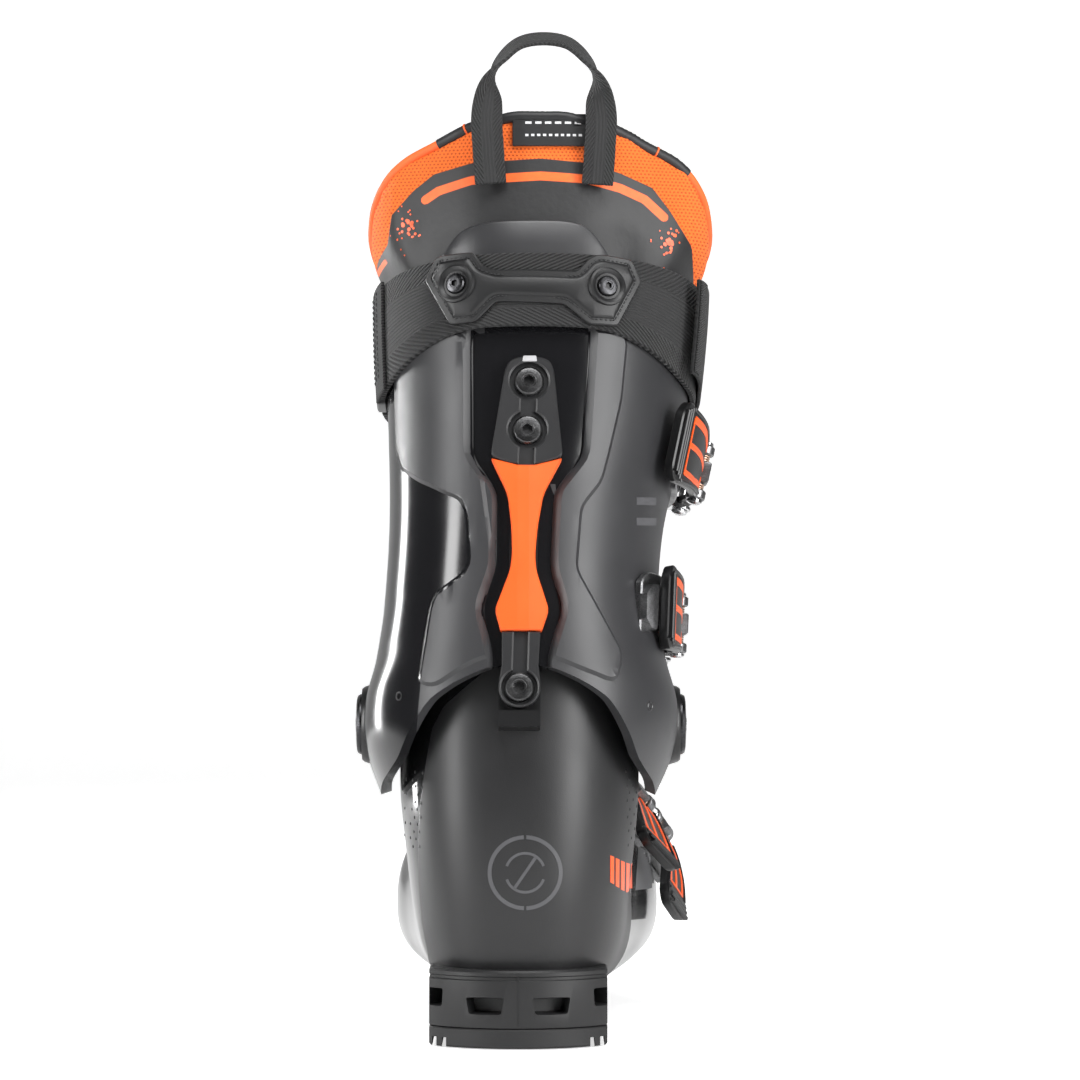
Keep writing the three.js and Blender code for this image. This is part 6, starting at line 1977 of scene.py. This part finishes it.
    # Ladder: a plate with four round teeth across it, and two domed rivets.
    ladder = [plate(spot, rounded(box_of((hook - 9, -7.8), (hook + 26, 7.8)), 2, 3), [(0, -0.8), (0, 1.3), (-0.5, 1.8)])]
    for k in range(4):
        tooth = hook - 1.5 - 2.2 - 1.3 + 8 * k
        ladder.append(turned(tooth, 1.5, [(0, -7), (2.6, -7), (2.6, 7), (0, 7)], 24))
    for d in (hook - 6, hook + 23):
        ladder.append(lathe([(0, 1.6), (2.2, 1.6), (2.0, 2.4), (1.2, 2.9), (0, 3.0)], spot(d, 0, 0), spot(d, 0, 5) - spot(d, 0, 0), 24))
    settle(to_object(f"{node}_ladder_plate", joined(*ladder), satin_grey), body, [f"{node}_ladder"])


# %% The four buckles
def cuff_heart(turn, height):
    return Vector((middle_at(height), -13, height))


def foot_heart(share, angle):
    sole, instep, _, _ = station(round(share, 5), 0)
    return Vector((0, (sole.x + instep.x) / 2, (sole.y + instep.y) / 2))


for name, start, end, tail in (("upper_cuff", (108, 106), (166, 109), 42), ("lower_cuff", (114, 44), (170, 53), 79)):
    path = path_over(cuff_skin, cuff_heart, (math.radians(start[0]), start[1]), (math.radians(end[0]), end[1]))
    buckle(name, "cuff", path, 54, 16.5, 4.6, tail, True)
for name, start, end, length, tip_off in (("instep", (0.515, 138), (0.535, 184), 42, 9), ("toe", (0.69, 136), (0.71, 186), 40, 5.5)):
    path = path_over(foot_skin, foot_heart, (start[0], math.radians(start[1])), (end[0], math.radians(end[1])))
    buckle(name, "shell", path, length, 15, tip_off, 34, False)
print("buckles ready:", len(made), "pieces made so far")

# %% [markdown]
# ## Marks, stripes and dimples
#
# Printed marks are thin plates laid a fraction of a millimetre over the skin. They are plain stripes and rings
# in place of any lettering. The dimples by the cuff's lobes are cast into the plastic; here they are small
# domed pips, which read the same at this size and leave the wall whole.

# %% Laying a print on the shell
shell_tree = BVHTree.FromObject(shell, bpy.context.evaluated_depsgraph_get())
cuff_tree = BVHTree.FromObject(cuff, bpy.context.evaluated_depsgraph_get())


def seen_from_behind(tree, x, z):
    hit, normal, _, _ = tree.ray_cast(Vector((x * MM, -0.25, z * MM)), Vector((0, 1, 0)))
    if hit is None:
        return None, None
    return hit / MM, normal


def print_on(name, tree, outlines, finish, body, lift=0.12, step=2.0):
    """Lays outlines, drawn as they are seen from behind, on a skin."""
    parts = []
    for outline in outlines:
        bm = slab_of(outline, [(0.0, -0.25), (0.0, lift)])
        score_every(bm, (1, 0, 0), step)
        score_every(bm, (0, 0, 1), step)
        bmesh.ops.triangulate(bm, faces=[face for face in bm.faces if len(face.verts) > 4])
        lost = []
        for vert in bm.verts:
            hit, normal = seen_from_behind(tree, vert.co.x, vert.co.z)
            if hit is None:
                lost.append(vert)
            else:
                vert.co = hit + normal * vert.co.y
        bmesh.ops.delete(bm, geom=lost, context="VERTS")
        face_outwards(bm)
        parts.append(bm)
    return settle(to_object(name, joined(*parts), finish), body)


def ring_outline(x, z, inner, outer, start, end, steps=40):
    """A band of a ring between two directions, in degrees."""
    return arc((x, z), outer, start, end, steps) + arc((x, z), inner, start, end, steps)[::-1]


# %% Heel mark, stripes and patches
heel_mark = [
    ring_outline(2.7, 67.6, 12.9, 14.4, -88, 88), ring_outline(2.7, 67.6, 12.9, 14.4, 92, 268),
    ring_outline(2.7, 67.6, 7.0, 8.0, 20, 160), ring_outline(2.7, 67.6, 7.0, 8.0, 200, 340),
    [(-2.2, 61.5), (-0.8, 61.5), (7.6, 73.7), (6.2, 73.7)],
]
print_on("heel_mark", shell_tree, heel_mark, grey_print, "shell", step=1.6)

stripes = []
for k in range(5):
    x = 35.6 + 2.15 * k
    top, bottom = 73.6 - 0.62 * (x - 35), 63.2 - 0.85 * (x - 35)
    stripes.append([(x, bottom), (x + 1.45, bottom - 1.0), (x + 1.45, top - 0.8), (x, top)])
print_on("side_stripes", shell_tree, stripes, orange_paint, "shell", step=1.2)
print_on("side_patch", shell_tree, [[(47.0, 53.0), (55.0, 50.2), (56.0, 62.0), (49.0, 68.5)]], grey_print, "shell", step=1.2)
cuff_bars = [[(46, z), (54, z), (54, z + 3), (46, z + 3)] for z in (201, 209)]
print_on("cuff_bars", cuff_tree, cuff_bars, grey_print, "cuff", step=1.2)


# %% Dimples and small cast rings
def pips(name, tree, places, body, size=0.75):
    bm = bmesh.new()
    for x, z in places:
        hit, normal = seen_from_behind(tree, x, z)
        if hit is None:
            continue
        pip = bmesh.ops.create_icosphere(bm, subdivisions=2, radius=size)["verts"]
        turn = normal.to_track_quat("Z", "Y").to_matrix().to_4x4()
        bmesh.ops.transform(bm, matrix=Matrix.Translation(hit - normal * 0.1) @ turn @ Matrix.Diagonal((1, 1, 0.5, 1)), verts=pip)
    return settle(to_object(name, bm, lug_plastic), body)


def pip_cluster(x, low, high, way, seed):
    dice = random.Random(seed)
    places = []
    for row in range(11):
        z = lerp(low, high, row / 10)
        for column in range(2 + (row % 2)):
            places.append((x + way * (column * 2.6 + (row % 2) * 1.2 - row * 0.12) + dice.uniform(-0.3, 0.3), z + dice.uniform(-0.4, 0.4)))
    return places


pips("dimples_outer", shell_tree, pip_cluster(43.0, 76, 105, 1, 3), "shell")
pips("dimples_inner", shell_tree, pip_cluster(-38.5, 76, 105, -1, 6), "shell")
for label, x, z in (("inner", -46, 135), ("outer", 51, 131)):
    hit, normal = seen_from_behind(cuff_tree, x, z)
    ring = lathe([(1.2, -0.3), (1.2, 0.12), (1.5, 0.3), (1.8, 0.12), (1.8, -0.3)], hit, normal, 32)
    settle(to_object(f"cast_ring_{label}", ring, cuff_plastic if label == "outer" else black_plastic), "cuff")
print("marks ready")

# %% Finishes of the parts that keep their drawn shape
for names, finish in (
    (["heel_sole_screw_front", "heel_sole_screw_back", "toe_sole_screw_inner", "toe_sole_screw_outer"], bolt_metal),
    (["boot_board", "footbed"], board_plastic),
    (["spine_slider"], black_plastic),
):
    for name in names:
        node = bpy.data.objects.get(name)
        node.data.materials.clear()
        node.data.materials.append(finish)
